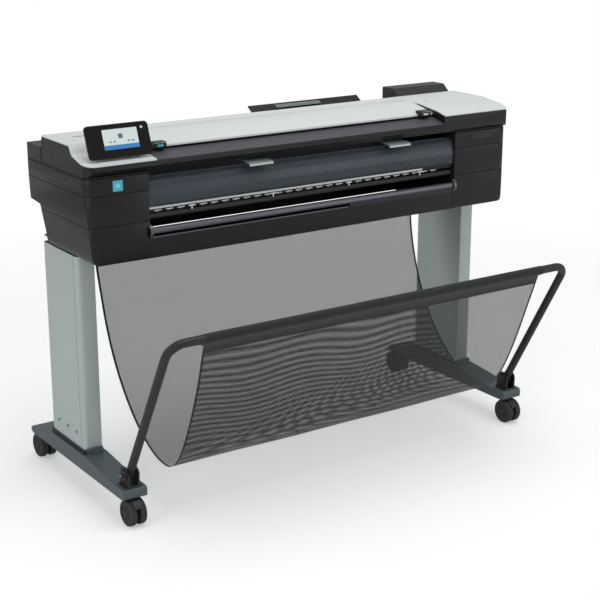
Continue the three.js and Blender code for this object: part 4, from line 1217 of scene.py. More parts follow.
    @staticmethod
    def spoke(centre: POINT, turn: float) -> list[POINT]:
        """A short bar in a hub, pointing away from the axle.

        Args:
            centre: The bar's middle.
            turn: Its angle about the axle, in radians.

        Returns:
            The bar's four corners.
        """
        out, side = Vector((math.cos(turn), math.sin(turn))), Vector((-math.sin(turn), math.cos(turn)))
        spots = [out * a + side * b for a, b in ((-0.0035, -0.0014), (0.0035, -0.002), (0.0035, 0.002), (-0.0035, 0.0014))]
        return [(centre[0] + p.x, centre[1] + p.y) for p in spots]

    def brace(self) -> None:
        """The beam between the legs, with its screws."""
        low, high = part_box("cross_brace")
        form = Form.of_node("cross_brace")
        form.piece("leg_brace", "root", LEG_GREY, bevel=0.0008, replaces=["cross_brace"], slot="leg_paint")
        for side in Side:
            x = (low.x if side is Side.LEFT else high.x) - side.value * 0.018
            row(f"brace_screws_{side.word}", "root", STEEL, screw(0.0042, 0.0026, Axis.Y, -1),
                (x, low.y, low.z + 0.011), (0, 0, 0.022), 2)

    def build(self) -> None:
        """Makes the whole stand."""
        self.legs()
        self.feet()
        self.casters()
        self.brace()


@dataclass
class Basket:
    """The tilting tube, its hinges and the netting between the rod and the tube."""

    tube_radius: float = 0.0115
    bend: float = 0.045
    rod_drop: float = 0.0085
    billow: float = 0.006
    ripple: float = 0.0016
    columns: int = 56
    half_width: float = field(default=0.0, init=False)

    def __post_init__(self) -> None:
        """Reads the cloth's width from the frame."""
        low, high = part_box("fabric_front")
        self.half_width = (high.x - low.x) / 2 - 0.0005

    def pivot(self) -> Vector:
        """The hinge point on the right.

        Returns:
            The point.
        """
        return Vector((middle("foot_right").x, middle("basket_hinge_right").y, self.pivot_height()))

    def pivot_height(self) -> float:
        """How high the hinge axis is: the top of the ears less their radius.

        Returns:
            The height.
        """
        low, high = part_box("basket_hinge_right")
        return high.z - (high.y - low.y) / 2

    def bar(self) -> tuple[float, float]:
        """The bar's centre, as (y, z).

        Returns:
            The bar's centre.
        """
        low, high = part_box("basket_frame")
        return low.y + self.tube_radius, high.z - self.tube_radius

    def tube(self) -> None:
        """The bent tube with an eye at each hinge."""
        hinge, (bar_y, bar_z) = self.pivot(), self.bar()
        corners = [(hinge.x, hinge.y, hinge.z), (hinge.x, bar_y, bar_z)]
        path = corners + [(-x, y, z) for x, y, z in corners[::-1]]
        pipe("basket_tube", "basket", TUBE_BLACK, path, self.tube_radius, self.bend, ["basket_frame"],
             sides=28)
        for side in Side:
            x = side.value * hinge.x
            eye = Form().turned(
                [(0, x - 0.0118), (0.0112, x - 0.0118), (0.0118, x - 0.011), (0.0118, x + 0.011),
                 (0.0112, x + 0.0118), (0, x + 0.0118)], (hinge.y, hinge.z), Axis.X)
            eye.piece(f"tube_eye_{side.word}", "basket", TUBE_BLACK)

    def hinges(self) -> None:
        """The ears on each foot, with a cap on each side and a bolt head."""
        hinge = self.pivot()
        for side in Side:
            name = f"basket_hinge_{side.word}"
            low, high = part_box(name)
            Form.of_node(name).piece(f"hinge_ears_{side.word}", "root", HINGE_BLACK, bevel=0.0011,
                                     replaces=[name], slot="black_plastic")
            x = side.value * hinge.x
            for sign, word in ((-1, "in"), (1, "out")):
                face = x + sign * 0.0172
                steps = [(0, 0), (0.0175, 0), (0.0175, 0.0022), (0.0155, 0.0042), (0.0085, 0.0044),
                         (0.0075, 0.0062), (0.0066, 0.0084), (0.0052, 0.0092), (0, 0.0092)]
                cap = Form().turned(
                    [(r, face + sign * h) for r, h in steps], (hinge.y, hinge.z), Axis.X, sides=36
                )
                cap.piece(f"hinge_cap_{side.word}_{word}", "root", HINGE_BLACK)
            head = Form().turned([(0, x + side.value * 0.0262), (0.0045, x + side.value * 0.0262),
                                  (0.0038, x + side.value * 0.0285), (0, x + side.value * 0.0285)],
                                 (hinge.y, hinge.z), Axis.X, sides=6)
            head.piece(f"hinge_bolt_{side.word}", "root", STEEL, bevel=0.0004)

    def cloth_path(self) -> list[POINT]:
        """The cloth's section, from its sleeve on the rod to its sleeve on the bar, as (y, z).

        Returns:
            The section's points.
        """
        rod = middle("basket_rod")
        hinge, (bar_y, bar_z) = self.pivot(), self.bar()
        start = (rod.y, rod.z - self.rod_drop)
        path = self.sleeve((rod.y, rod.z), self.rod_drop, 270, -30, 10)
        drop = rod.z - hinge.z
        reach = rod.y - hinge.y
        path += bezier([start, (rod.y - 0.035, hinge.z + 0.374 * drop), (hinge.y + 0.405 * reach, hinge.z),
                        (hinge.y, hinge.z)], 26)
        lift, run = bar_z - hinge.z, hinge.y - bar_y
        away = Vector((run, -lift)).normalized() * (self.tube_radius + 0.0015)
        end = (bar_y + away.x, bar_z + away.y)
        path += bezier([(hinge.y, hinge.z), (hinge.y - 0.256 * run, hinge.z),
                        (hinge.y - 0.47 * run, hinge.z + 0.124 * lift), end], 26)[1:]
        angle = math.degrees(math.atan2(away.y, away.x))
        path += self.sleeve((bar_y, bar_z), self.tube_radius + 0.0015, angle, angle - 330, 14)[1:]
        tail = Vector(path[-1])
        inwards = Vector((hinge.y - bar_y, -lift)).normalized()
        path.append(tuple(tail + inwards * 0.02))
        return path

    @staticmethod
    def sleeve(centre: POINT, radius: float, first: float, last: float, pieces: int) -> list[POINT]:
        """Part of a round sleeve, from one angle in degrees to another.

        Args:
            centre: The sleeve's centre.
            radius: Its radius.
            first: The angle that it starts at.
            last: The angle that it ends at.
            pieces: How many straight pieces it has.

        Returns:
            The sleeve's points.
        """
        turns = [math.radians(first + (last - first) * i / pieces) for i in range(pieces + 1)]
        return [(centre[0] + radius * math.cos(t), centre[1] + radius * math.sin(t)) for t in turns]

    def netting(self) -> None:
        """The cloth: one sheet from the rod, through the hinge line, to the tube."""
        hinge, (bar_y, bar_z) = self.pivot(), self.bar()
        rod = middle("basket_rod")
        path = self.cloth_path()
        lengths = [0.0]
        for one, two in zip(path, path[1:]):
            lengths.append(lengths[-1] + (Vector(two) - Vector(one)).length)
        mesh = bpy.data.meshes.new("netting")
        verts, faces, spots = [], [], []
        for i, (y, z) in enumerate(path):
            free = min((Vector((y, z)) - Vector((bar_y, bar_z))).length,
                       (Vector((y, z)) - Vector((rod.y, rod.z))).length)
            slack = min(max(free - 0.02, 0.0) / 0.12, 1.0)
            for j in range(self.columns + 1):
                share = 2 * j / self.columns - 1
                x = share * self.half_width
                sag = self.billow * (1 - share * share) + self.ripple * math.sin(9 * share + 14 * lengths[i])
                pull = 0.004 * slack * math.copysign(abs(share) ** 6, share)
                verts.append((x - pull, y + slack * sag * 0.5, z - slack * sag * 0.6))
                spots.append((x, lengths[i]))
        across = self.columns + 1
        for i in range(len(path) - 1):
            for j in range(self.columns):
                first = i * across + j
                faces.append((first, first + 1, first + across + 1, first + across))
        mesh.from_pydata(verts, [], faces)
        layer = mesh.uv_layers.new(name="cloth")
        for loop in mesh.loops:
            layer.data[loop.index].uv = spots[loop.vertex_index]
        mesh.materials.append(
            Netting("basket_netting", (25, 28, 30), self.half_width, lengths[-1]).material()
        )
        mesh.shade_smooth()
        made = bpy.data.objects.new("netting", mesh)
        bpy.context.scene.collection.objects.link(made)
        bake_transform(made)
        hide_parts("fabric_rear", "fabric_front")
        LOG.info("made netting, cut %.3f x %.3f m", 2 * self.half_width, lengths[-1])

    def build(self) -> None:
        """Makes the whole basket."""
        self.tube()
        self.hinges()
        self.netting()
        dress(STEEL, "basket_rod")


# ------------------------------------------------------------------ the printer's casing
@dataclass
class Casing:
    """End covers, lower panel, rear cover, roll cover and ink cover."""

    groove_heights: tuple[float, float] = (0.783, 0.865)
    groove_width: float = 0.0026
    groove_depth: float = 0.0013
    seam_drop: float = 0.0042
    sticker_side: float = 0.028
    sticker_low: POINT = (-0.628, 0.873)
    plate: tuple[float, float] = (0.078, 0.013)

    def end_covers(self) -> None:
        """The two end modules, with grooves that wrap round their front and side."""
        for side in Side:
            name = f"end_cover_{side.word}"
            low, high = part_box(name)
            centre = (low + high) / 2
            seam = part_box("scanner_base")[0].z - 0.0003
            form = Form.of_node(name)
            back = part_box("roll_cover")[0].y
            front_only = self.outside_test(low, high, back)
            for height in self.groove_heights:
                form.groove(Axis.Z, height, self.groove_width, self.groove_depth, centre, 1, front_only)
            form.groove(Axis.Z, seam - self.seam_drop, 0.005, 0.0022, centre, 1, front_only)
            form.piece(f"end_module_{side.word}", "root", CHARCOAL, SEAM_BLACK, bevel=0.0011, replaces=[name],
                       slot="body_plastic")

    @staticmethod
    def outside_test(low: Vector, high: Vector, back: float) -> Callable[[Vector], bool]:
        """Says whether a point is on the cover's front or outer side, clear of its inner walls.

        Args:
            low: The cover's lowest corner.
            high: The cover's highest corner.
            back: Where the roll cover starts, as Y.

        Returns:
            The test, for Form.groove.
        """

        def test(point: Vector) -> bool:
            near_end = abs(point.x) > max(abs(low.x), abs(high.x)) - 0.04
            return (point.y < low.y + 0.002 or near_end) and point.y < back + 0.08

        return test

    def sticker(self) -> None:
        """A plain square on the left front and a bare plate on the right front."""
        low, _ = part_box("end_cover_left")
        _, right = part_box("end_cover_right")
        size = self.sticker_side
        form = Form().slab((self.sticker_low[0], low.y - 0.0006, self.sticker_low[1]), (self.sticker_low[0] + size, low.y + 0.001, self.sticker_low[1] + size),
                           axis=Axis.Y, radius=0.002)
        form.slab(
            (self.sticker_low[0] + size * 0.28, low.y - 0.0008, self.sticker_low[1] + size * 0.3),
            (self.sticker_low[0] + size * 0.72, low.y + 0.001, self.sticker_low[1] + size * 0.7),
            axis=Axis.Y,
            radius=0.004,
            slot=1,
        )
        form.piece("front_sticker", "root", STICKER, Finish("sticker_pale", (160, 226, 232), 0.4))
        width, height = self.plate
        x = right.x - 0.062
        plate = Form().slab((x - width, low.y - 0.0007, 0.886), (x, low.y + 0.001, 0.886 + height),
                            axis=Axis.Y, radius=0.005)
        plate.piece("name_plate_blank", "root", CHARCOAL_LIGHT, bevel=0.0003)

    def panels(self) -> None:
        """The lower front panel and the rear cover with its ribs."""
        Form.of_node("front_lower_panel").piece("lower_panel", "root", CHARCOAL, bevel=0.0009,
                                                replaces=["front_lower_panel"], slot="body_plastic")
        Form.of_node("rear_cover").piece(
            "back_panel", "root", CHARCOAL, bevel=0.0009, replaces=["rear_cover"], slot="body_plastic"
        )
        low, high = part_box("rear_cover")
        rib = Form().prism(rounded([(-0.0005, 0.0), (0.003, 0.0), (0.0045, 0.052), (0.0, 0.052)]), Axis.X,
                           (-0.0015, 0.0015))
        row("back_ribs", "root", CHARCOAL, rib, (low.x + 0.21, high.y - 0.081, low.z + 0.045),
            (0.086, 0.0, 0.0), 12)

    def roll_cover(self) -> None:
        """The rear tower's cover, with its pull strip and a row of slots along the back."""
        name = "roll_cover"
        low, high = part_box(name)
        form = Form.of_node(name)
        form.piece("tower_cover", "roll_door", CHARCOAL, bevel=0.0009, replaces=[name], slot="body_plastic")
        slat = Form().slab((-0.009, -0.0008, -0.002), (0.009, 0.0006, 0.002), axis=Axis.Y, radius=0.0018)
        row("tower_slots", "roll_door", SEAM_BLACK, slat, (low.x + 0.12, high.y + 0.0002, high.z - 0.045),
            (0.026, 0, 0), 31)
        pull = Form().prism(
            rounded(
                [
                    (high.y - 0.001, low.z + 0.012, 0.001),
                    (high.y + 0.0045, low.z + 0.013, 0.002),
                    (high.y + 0.0045, low.z + 0.018, 0.002),
                    (high.y - 0.001, low.z + 0.022, 0.001),
                ]
            ),
            Axis.X,
            (-0.13, 0.1),
        )
        pull.piece("tower_pull", "roll_door", SATIN_BLACK, bevel=0.0005)

    def ink_cover(self) -> None:
        """The ink compartment's cover with its finger grip and a pale drop of each ink."""
        low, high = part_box("ink_cover")
        form = Form.of_node("ink_cover")
        form.piece(
            "ink_lid",
            "ink_door",
            CHARCOAL_LIGHT,
            bevel=0.0011,
            replaces=["ink_cover"],
            slot="body_plastic",
        )
        grip = Form().slab(
            (middle("ink_cover").x - 0.024, low.y - 0.0016, low.z + 0.003),
            (middle("ink_cover").x + 0.024, low.y + 0.0015, low.z + 0.011),
            axis=Axis.Y,
            radius=0.003,
        )
        grip.piece("ink_grip", "ink_door", SATIN_BLACK, bevel=0.0007)
        slope = math.atan2(high.z - low.z - 0.022, 0.034)
        for i, finish in enumerate(INKS.values()):
            x = low.x + 0.045 + i * 0.036
            place = Matrix.Translation((x, low.y + 0.013, low.z + 0.0318)) @ Matrix.Rotation(slope, 4, "X")
            dot = Form(place).turned(
                [(0, -0.001), (0.0042, -0.001), (0.0042, 0.0003), (0, 0.0003)], (0, 0), Axis.Z, 20
            )
            dot.piece(f"ink_dot_{i + 1}", "ink_door", finish)

    def build(self) -> None:
        """Makes the whole casing."""
        self.end_covers()
        self.sticker()
        self.panels()
        self.roll_cover()
        self.ink_cover()
        for color, finish in INKS.items():
            dress(finish, f"ink_cartridge_{color}")


# ------------------------------------------------------------------ the print bay
@dataclass
class PrintBay:
    """What shows between the two end modules: window, rail, star wheels and output bar."""

    wheel_pitch: float = 0.034
    wheel_radius: float = 0.0052
    marks: int = 4

    def rail(self) -> None:
        """The star wheel rail with a pale strip painted as the highlight along its top edge, wheels, holders
        and marks.
        """
        low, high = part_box("starwheel_rail")
        Form.of_node("starwheel_rail").piece("wheel_rail", "root", SATIN_BLACK, bevel=0.0006,
                                             replaces=["starwheel_rail"], slot="steel")
        # A near-white strip along the rail's top front edge: painted highlight.
        lip = Form().prism(
            rounded(
                [
                    (low.y - 0.0014, high.z - 0.0052, 0.0006),
                    (low.y - 0.0002, high.z - 0.0052),
                    (low.y - 0.0002, high.z + 0.0004),
                    (low.y - 0.0014, high.z + 0.0002, 0.0006),
                ],
                3,
            ),
            Axis.X,
            (low.x + 0.004, high.x - 0.115),
        )
        lip.piece("exit_lip", "root", BRIGHT)
        count = int((high.x - low.x - 0.05) / self.wheel_pitch)
        start = (low.x + 0.03, low.y + 0.004, low.z - 0.0006)
        row("star_wheels", "root", BRIGHT, self.star(), start, (self.wheel_pitch, 0, 0), count)
        holder = Form().slab((-0.011, -0.0052, -0.0012), (0.011, -0.0042, 0.0016), axis=Axis.Y, radius=0.0008)
        row("wheel_holders", "root", LIP_GREY, holder, start, (self.wheel_pitch, 0, 0), count)
        tee = Form().slab((-0.0085, -0.0016, 0.0), (0.0085, -0.0006, 0.0032), axis=Axis.Y, radius=0.0006)
        tee.slab((-0.0018, -0.0017, -0.0085), (0.0018, -0.0006, 0.0006), axis=Axis.Y, radius=0.0006)
        gap = (high.x - low.x) / self.marks
        row(
            "rail_marks",
            "root",
            PALE_MARK,
            tee,
            (low.x + gap / 2, low.y - 0.0056, low.z + 0.0002),
            (gap, 0, 0),
            self.marks,
        )

    def star(self) -> Form:
        """One toothed wheel about an X axis through the origin.

        Returns:
            The wheel's form.
        """
        points = []
        for i in range(24):
            radius = self.wheel_radius if i % 2 == 0 else self.wheel_radius * 0.72
            points.append((radius * math.cos(math.pi * i / 12), radius * math.sin(math.pi * i / 12)))
        form = Form().prism(points, Axis.X, (-0.0004, 0.0004))
        return form.turned([(0, -0.003), (0.0016, -0.003), (0.0016, 0.003), (0, 0.003)], (0, 0), Axis.X, 12)

    def output_bar(self) -> None:
        """The rounded bar under the exit, its second line, a dark block painted as the shade in its recessed
        end, and its curved clips.
        """
        low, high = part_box("output_bar")
        Form.of_node("output_bar").piece("exit_bar", "root", BAR_GREY, bevel=0.0012, segments=3,
                                         replaces=["output_bar"], slot="steel")
        seam = low.x + 0.62 * (high.x - low.x)
        second = Form().prism(
            rounded(rectangle((low.y + 0.0015, low.y + 0.006), (low.z - 0.0075, low.z - 0.0035), 0.0012)),
            Axis.X,
            (low.x + 0.004, seam),
        )
        second.piece("exit_bar_trim", "root", BAR_GREY)
        # A dark block under the bar's right end; its dark colour is painted shade standing for the recess.
        dark = Form().prism(rounded(rectangle((low.y + 0.0005, low.y + 0.012), (low.z - 0.012, low.z + 0.004),
                                              0.003)), Axis.X, (seam + 0.003, high.x - 0.002))
        dark.piece("exit_bar_recess", "root", BAR_RECESS_PAINTED_SHADE, bevel=0.0006)
        for side in Side:
            x = low.x + 0.001 if side is Side.LEFT else high.x - 0.001
            turns = [math.radians(a) for a in range(112, 249, 8)]
            arc = [
                (low.y + 0.017 + 0.021 * math.cos(t), (low.z + high.z) / 2 + 0.0195 * math.sin(t))
                for t in turns
            ]
            clip = Form().prism(band(arc, 0.0026), Axis.X, (x - 0.0048, x + 0.0048))
            clip.piece(f"bar_clip_{side.word}", "root", BAR_GREY, bevel=0.0006)

    def window(self) -> None:
        """The smoked front window with its lower stiffening strip."""
        Form.of_node("front_window").piece("window_pane", "window", SMOKED, bevel=0.0006,
                                           replaces=["front_window"], slot="smoked_window")
        low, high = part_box("front_window")
        strip = Form().slab(
            (low.x + 0.02, low.y - 0.0008, low.z + 0.001),
            (high.x - 0.02, low.y + 0.0007, low.z + 0.004),
            axis=Axis.Y,
            radius=0.001,
        )
        strip.piece("window_strip", "window", CHARCOAL_LIGHT)

    def flaps(self) -> None:
        """The two grey sheet guides under the scanner, with pale lips painted as the highlight on their front
        edges.
        """
        for side in Side:
            name = f"guide_flap_{side.word}"
            body = f"flap_{side.word}"
            low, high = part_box(name)
            Form.of_node(name).piece(
                f"sheet_guide_{side.word}",
                body,
                FLAP_GREY,
                bevel=0.0007,
                replaces=[name],
                slot="grey_plastic",
            )
            # A pale strip along each guide's front edge: painted highlight on the lit edge, the guide itself
            # being plain grey.
            lip = Form().slab(
                (low.x + 0.001, low.y - 0.0012, low.z - 0.0008),
                (high.x - 0.001, low.y + 0.0015, low.z + 0.0042),
                radius=0.0008,
                axis=Axis.X,
            )
            lip.piece(f"guide_lip_{side.word}", body, LIP_GREY)

    def mechanism(self) -> None:
        """Finishes of the inner parts, and small parts that ride with them."""
        dress(SATIN_BLACK, "platen", "carriage", "service_station", "roll_spindle", "scan_sensor")
        dress(RUBBER, "feed_roller", "output_roller", "scan_roller", "drive_belt")
        dress(DARK_STEEL, "carriage_rail", "base_pan", "side_frame_left", "side_frame_right")
        dress(STEEL, "motor_pulley", "electronics_box")
        dress(FLAP_GREY, "cutter")
        low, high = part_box("platen")
        rib = Form().slab((-0.0015, 0.0, 0.0), (0.0015, 0.09, 0.0009), radius=0.0006)
        row("platen_ribs", "root", SATIN_BLACK, rib, (low.x + 0.02, low.y + 0.008, high.z), (0.02, 0, 0), 50)
        roller_low, roller_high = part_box("feed_roller")
        pinch = Form().turned(
            [
                (0, -0.012),
                (0.0014, -0.012),
                (0.0019, -0.0115),
                (0.0019, 0.0115),
                (0.0014, 0.012),
                (0, 0.012),
            ],
            (0, 0),
            Axis.X,
            20,
        )
        row(
            "pinch_rollers",
            "root",
            RUBBER,
            pinch,
            (roller_low.x + 0.05, (roller_low.y + roller_high.y) / 2, roller_high.z + 0.0022),
            (0.075, 0, 0),
            13,
        )
        rail_low, rail_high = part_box("carriage_rail")
        strip = Form().slab((rail_low.x + 0.01, rail_high.y + 0.0003, rail_low.z + 0.03),
                            (rail_high.x - 0.22, rail_high.y + 0.0008, rail_low.z + 0.036), axis=Axis.Y)
        strip.piece("position_strip", "root", PALE_MARK)

    def build(self) -> None:
        """Makes the print bay."""
        self.rail()
        self.output_bar()
        self.window()
        self.flaps()
        self.mechanism()


# ------------------------------------------------------------------ the scanner
@dataclass
class Scanner:
    """The sheet scanner on top: base, feed ramp, caps, lid and latch tabs."""

    lid_line: float = 0.0016
    tab_width: float = 0.036

    def base(self) -> None:
        """The dark base, its speckled feed ramp and the glass."""
        low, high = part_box("scanner_base")
        Form.of_node("scanner_base").piece("scanner_body", "root", CHARCOAL, bevel=0.0009,
                                           replaces=["scanner_base"], slot="body_plastic")
        lid_low, lid_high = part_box("scanner_lid")
        glass_low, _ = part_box("scanner_glass")
        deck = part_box("scanner_glass")[1].z
        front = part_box("end_cover_left")[0].y - 0.006
        ramp = Form().prism(
            band(
                [
                    (front + 0.0035, deck - 0.0135),
                    (front + 0.03, deck - 0.0075),
                    (front + 0.060, deck - 0.0001),
                    (glass_low.y - 0.0015, deck + 0.0003),
                ],
                0.0009,
            ),
            Axis.X,
            (lid_low.x + 0.001, lid_high.x - 0.001),
        )
        ramp.piece("feed_ramp", "root", RAMP_GREY)
        dress(CLEAR, "scanner_glass")

    def caps(self) -> None:
        """The white caps over both ends, with small slots and marks."""
        for side in Side:
            name = f"scanner_cap_{side.word}"
            Form.of_node(name).piece(f"white_cap_{side.word}", "root", WHITE, bevel=0.0011, replaces=[name],
                                     slot="white_plastic")
        low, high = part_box("scanner_cap_left")
        slots = Form()
        for i in range(2):
            slots.slab((low.x + 0.055 + 0.05 * i, high.y - 0.075, high.z - 0.0004),
                       (low.x + 0.092 + 0.05 * i, high.y - 0.0705, high.z + 0.0003), radius=0.002)
        slots.piece("cap_slots", "root", SEAM_BLACK)
        low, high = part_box("scanner_cap_right")
        marks = Form()
        for x, y in ((0.03, 0.1), (0.05, 0.125), (0.075, 0.1)):
            marks.slab(
                (low.x + x, low.y + y + 0.03, high.z - 0.0004),
                (low.x + x + 0.007, low.y + y + 0.034, high.z + 0.0003),
                radius=0.0018,
            )
        marks.piece("cap_marks", "root", CHARCOAL_LIGHT)

    def lid(self) -> None:
        """The white lid with two long creases, its latch tabs and their labels."""
        low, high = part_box("scanner_lid")
        centre = (low + high) / 2 + Vector((0, 0, -0.03))
        form = Form.of_node("scanner_lid")

        def on_top(point: Vector) -> bool:
            return point.z > high.z - 0.0005 and low.x + 0.001 < point.x < high.x - 0.001

        for share in (0.36, 0.5):
            form.groove(Axis.Y, high.y - share * 0.1, 0.004, self.lid_line, centre, 0, on_top)
        form.piece("lid_shell", "lid", WHITE, bevel=0.001, replaces=["scanner_lid"], slot="white_plastic")
        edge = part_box("scanner_glass")[1].z + 0.007
        x_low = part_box("scanner_cap_left")[1].x + 0.0025
        for side in Side:
            x = x_low + 0.017 if side is Side.LEFT else high.x - 0.0585
            tab = Form().prism(
                rounded(
                    [
                        (low.y - 0.001, edge - 0.0004, 0.002),
                        (low.y + 0.0195, edge - 0.0004),
                        (low.y + 0.0275, edge + 0.0155, 0.002),
                        (low.y - 0.001, edge + 0.0155, 0.006),
                    ]
                ),
                Axis.X,
                (x, x + self.tab_width),
            )
            tab.piece(f"latch_tab_{side.word}", "lid", SATIN_BLACK, bevel=0.001)
            label = Form().slab(
                (x + 0.009, low.y - 0.0016, edge + 0.004),
                (x + 0.027, low.y - 0.0006, edge + 0.0095),
                axis=Axis.Y,
                radius=0.001,
            )
            label.piece(f"latch_label_{side.word}", "lid", STICKER if side is Side.LEFT else PALE_MARK)

    def build(self) -> None:
        """Makes the scanner."""
        self.base()
        self.caps()
        self.lid()


@dataclass
class TouchPanel:
    """The leaning control panel and its screen."""

    width: float = 0.180
    height: float = 0.088
    depth: float = 0.013
    lean: float = 21.0
    corner: float = 0.012

    def place(self) -> Matrix:
        """The panel's own axes: X across, Y into it, Z up its face, from the middle of its foot.

        Returns:
            The panel's own axes.
        """
        low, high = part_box("touch_panel")
        foot = Vector(((low.x + high.x) / 2, low.y, low.z + self.depth * math.sin(math.radians(self.lean))))
        return Matrix.Translation(foot) @ Matrix.Rotation(-math.radians(self.lean), 4, "X")

    def housing(self) -> None:
        """The glossy housing with a pillowed back, and the frame's own arm."""
        half, d = self.width / 2, self.depth
        form = Form(self.place())
        outline = rounded(rectangle((-half, half), (0.0, self.height), self.corner), 8)
        form.prism(outline, Axis.Y, (0.0, d * 0.55))
        back = rounded(rectangle((-half + 0.004, half - 0.004), (0.004, self.height - 0.004), self.corner), 8)
        form.prism(back, Axis.Y, (d * 0.5, d))
        form.piece("panel_housing", "panel", GLOSS_BLACK, bevel=0.0022, segments=4)
        arm = Form.of_node("touch_panel")
        front = self.place()
        inside = front.inverted()
        gone = [f for f in arm.bm.faces if (inside @ f.calc_center_median()).y < d + 0.0003]
        bmesh.ops.delete(arm.bm, geom=gone, context="FACES")
        arm.piece("panel_arm", "panel", SATIN_BLACK, replaces=["touch_panel"], slot="black_plastic")

    def screen(self) -> None:
        """The lit screen with plain blocks on it, and a small round key."""
        half, low = 0.049, 0.022
        form = Form(self.place())
        shift, face = 0.006, -0.0009
        form.slab((shift - half, face, low), (shift + half, 0.0012, low + 0.052), axis=Axis.Y, radius=0.0015)
        form.slab(
            (shift - half, face - 0.0003, low),
            (shift + half, face + 0.0003, low + 0.011),
            slot=1,
            axis=Axis.Y,
            radius=0.0012,
        )
        form.slab(
            (shift - 0.006, face - 0.0003, low + 0.027),
            (shift + 0.006, face + 0.0003, low + 0.039),
            slot=2,
            axis=Axis.Y,
            radius=0.002,
        )
        for x in (-0.034, -0.022, 0.018, 0.03):
            form.slab(
                (shift + x, face - 0.0002, low + 0.018),
                (shift + x + 0.007, face + 0.0003, low + 0.021),
                slot=2,
                axis=Axis.Y,
                radius=0.0008,
            )
        form.piece("screen", "panel", SCREEN_PALE, SCREEN_BLUE, SCREEN_MARK, replaces=["display_glass"],
                   slot="clear_glass")
        key = Form(self.place()).turned([(0, -0.0008), (0.0034, -0.0008), (0.0034, 0.0006), (0, 0.0006)],
                                        (0.069, 0.0725), Axis.Y, 24)
        key.piece("panel_key", "panel", PALE_MARK)

    def build(self) -> None:
        """Makes the panel."""
        self.housing()
        self.screen()


@dataclass
class RearFittings:
    """The sheet support, the power inlet and its switch."""

    def support(self) -> None:
        """The black support with a grey insert."""
        low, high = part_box("sheet_support")
        Form.of_node("sheet_support").piece("support_blade", "support", SATIN_BLACK, bevel=0.0009,
                                            replaces=["sheet_support"], slot="black_plastic")
        rise = (high.z - 0.002 - (low.z + 0.0175)) / (high.y - low.y - 0.022)
        angle = math.atan(rise)
        place = Matrix.Translation((low.x, low.y + 0.03, low.z + 0.0222)) @ Matrix.Rotation(angle, 4, "X")
        insert = Form(place).slab((0.088, 0.0, -0.0004), (0.248, 0.0175, 0.0012), radius=0.003)
        insert.piece("support_insert", "support", FLAP_GREY, bevel=0.0004)

    def power(self) -> None:
        """The inlet with three pins, and the rocker dressed in satin black."""
        low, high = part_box("power_inlet")
        Form.of_node("power_inlet").piece(
            "inlet", "root", SATIN_BLACK, bevel=0.0005, replaces=["power_inlet"], slot="black_plastic"
        )
        x, z = low.x + 0.023, (low.z + high.z) / 2
        pins = Form()
        for dx, dz in ((-0.007, -0.003), (0.0, 0.003), (0.007, -0.003)):
            pins.slab(
                (x + dx - 0.001, high.y - 0.018, z + dz - 0.0022),
                (x + dx + 0.001, high.y - 0.005, z + dz + 0.0022),
                axis=Axis.Y,
                radius=0.0006,
            )
        pins.piece("inlet_pins", "root", STEEL)
        dress(SATIN_BLACK, "power_switch")

    def build(self) -> None:
        """Makes the rear fittings."""
        self.support()
        self.power()


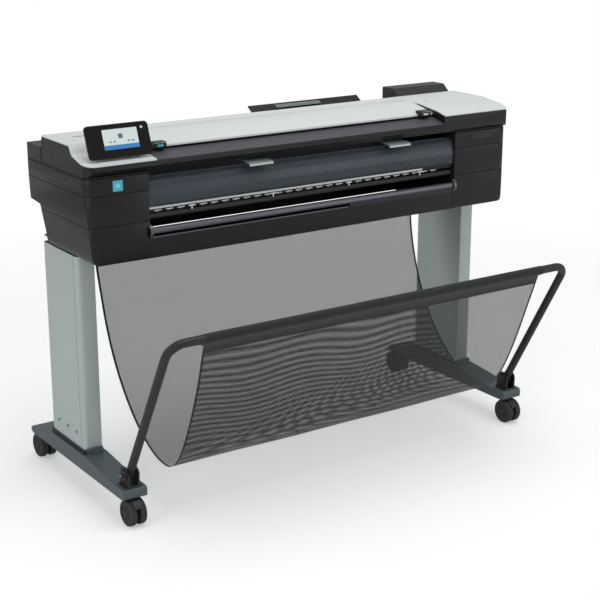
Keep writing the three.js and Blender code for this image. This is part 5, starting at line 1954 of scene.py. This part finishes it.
# ------------------------------------------------------------------ the studio
@dataclass
class Studio:
    """Floor, lamps, world and camera."""

    azimuth: float = -34.0
    elevation: float = 16.9
    distance: float = 4.1
    lens: float = 85.0
    fade: POINT = (1.3, 3.0)
    target: tuple[float, float, float] = (-0.005, 0.0, 0.462)

    def floor(self) -> None:
        """A pale floor that reads white to the camera and keeps the shadow."""
        material = bpy.data.materials.new("studio_floor")
        material.use_nodes = True
        tree = material.node_tree
        tree.nodes.clear()
        place = node(tree, "ShaderNodeTexCoord").outputs["Object"]
        tone = node(tree, "ShaderNodeTexNoise", {"Vector": place, "Scale": 1.5})
        ramp = node(tree, "ShaderNodeMapRange", {"Value": tone.outputs["Fac"], "To Min": 0.88, "To Max": 0.9})
        matt = node(tree, "ShaderNodeBsdfDiffuse", {"Color": ramp.outputs[0]})
        glow = node(
            tree, "ShaderNodeEmission", {"Color": (0.97, 1.0, 0.99, 1), "Strength": self.lift(tree, 0.36)}
        )
        both = node(tree, "ShaderNodeAddShader", {0: matt.outputs[0], 1: glow.outputs[0]})
        away = node(tree, "ShaderNodeVectorMath", {0: place}, operation="LENGTH")
        far = node(
            tree, "ShaderNodeMapRange", {"Value": away.outputs["Value"], "From Min": self.fade[0], "From Max": self.fade[1]}
        )
        white = node(tree, "ShaderNodeEmission", {"Color": (1, 1, 1, 1), "Strength": 1.0})
        share = node(
            tree, "ShaderNodeMath", {0: far.outputs[0], 1: self.lift(tree, 1.0)}, operation="MULTIPLY"
        )
        mixed = node(
            tree, "ShaderNodeMixShader", {0: share.outputs[0], 1: both.outputs[0], 2: white.outputs[0]}
        )
        node(tree, "ShaderNodeOutputMaterial", {"Surface": mixed.outputs[0]})
        mesh = bpy.data.meshes.new("floor")
        reach, drop = 9.0, -0.0004
        corners = [(-reach, -reach), (reach, -reach), (reach, reach), (-reach, reach)]
        mesh.from_pydata([(x, y, drop) for x, y in corners], [], [(0, 1, 2, 3)])
        mesh.materials.append(material)
        made = bpy.data.objects.new("floor", mesh)
        bpy.context.scene.collection.objects.link(made)

    @staticmethod
    def lift(tree: bpy.types.NodeTree, strength: float) -> bpy.types.NodeSocket:
        """A strength for rays that reach the eye directly or through glass, and 0 for the rest.

        Args:
            tree: The tree that the nodes join.
            strength: The strength for the rays that are picked out.

        Returns:
            The strength's socket.
        """
        path = node(tree, "ShaderNodeLightPath")
        straight, through = path.outputs["Is Camera Ray"], path.outputs["Is Transmission Ray"]
        either = node(tree, "ShaderNodeMath", {0: straight, 1: through}, operation="MAXIMUM")
        return node(
            tree, "ShaderNodeMath", {0: either.outputs[0], 1: strength}, operation="MULTIPLY"
        ).outputs[0]

    def world(self) -> None:
        """A white surround to the eye, and a softer one to the object."""
        world = bpy.data.worlds.new("studio")
        bpy.context.scene.world = world
        world.use_nodes = True
        tree = world.node_tree
        extra = self.lift(tree, 0.55)
        total = node(tree, "ShaderNodeMath", {0: extra, 1: 0.45}, operation="ADD")
        back = tree.nodes["Background"]
        back.inputs["Color"].default_value = (1, 1, 1, 1)
        tree.links.new(total.outputs[0], back.inputs["Strength"])

    def lamp(self, name: str, spot: Sequence[float], size: POINT, power: float) -> None:
        """A soft lamp that faces the plotter.

        Args:
            name: The lamp's name.
            spot: Where it stands.
            size: Its width and height.
            power: Its power in watts.
        """
        data = bpy.data.lights.new(name, "AREA")
        data.shape = "RECTANGLE"
        data.size, data.size_y = size
        data.energy = power
        made = bpy.data.objects.new(name, data)
        made.location = spot
        made.rotation_euler = (Vector((0, 0, 0.6)) - Vector(spot)).to_track_quat("-Z", "Y").to_euler()
        bpy.context.scene.collection.objects.link(made)

    def camera(self) -> None:
        """The camera, to the left of the front and a little above."""
        data = bpy.data.cameras.new("camera")
        data.lens = self.lens
        data.clip_end = 60
        made = bpy.data.objects.new("camera", data)
        turn, rise = math.radians(self.azimuth), math.radians(self.elevation)
        back = Vector((math.sin(turn) * math.cos(rise), -math.cos(turn) * math.cos(rise), math.sin(rise)))
        made.location = Vector(self.target) + back * self.distance
        made.rotation_euler = (-back).to_track_quat("-Z", "Y").to_euler()
        bpy.context.scene.collection.objects.link(made)
        bpy.context.scene.camera = made

    def build(self) -> None:
        """Sets the studio up."""
        bpy.context.scene.view_settings.view_transform = "Standard"
        self.floor()
        self.world()
        self.lamp("top_softbox", (0.2, -0.6, 3.4), (3.2, 2.4), 38)
        self.lamp("left_softbox", (-3.4, -0.6, 1.7), (2.0, 2.2), 17)
        self.lamp("right_softbox", (2.6, -3.2, 1.4), (1.4, 1.8), 13)
        self.camera()


def main() -> None:
    """Builds every sub-assembly in order."""
    logging.basicConfig(level=logging.INFO, format="%(message)s")
    for part in (Studio(), Stand(), Basket(), Casing(), PrintBay(), Scanner(), TouchPanel(), RearFittings()):
        LOG.info("building %s", type(part).__name__)
        part.build()


if __name__ == "__main__":
    main()
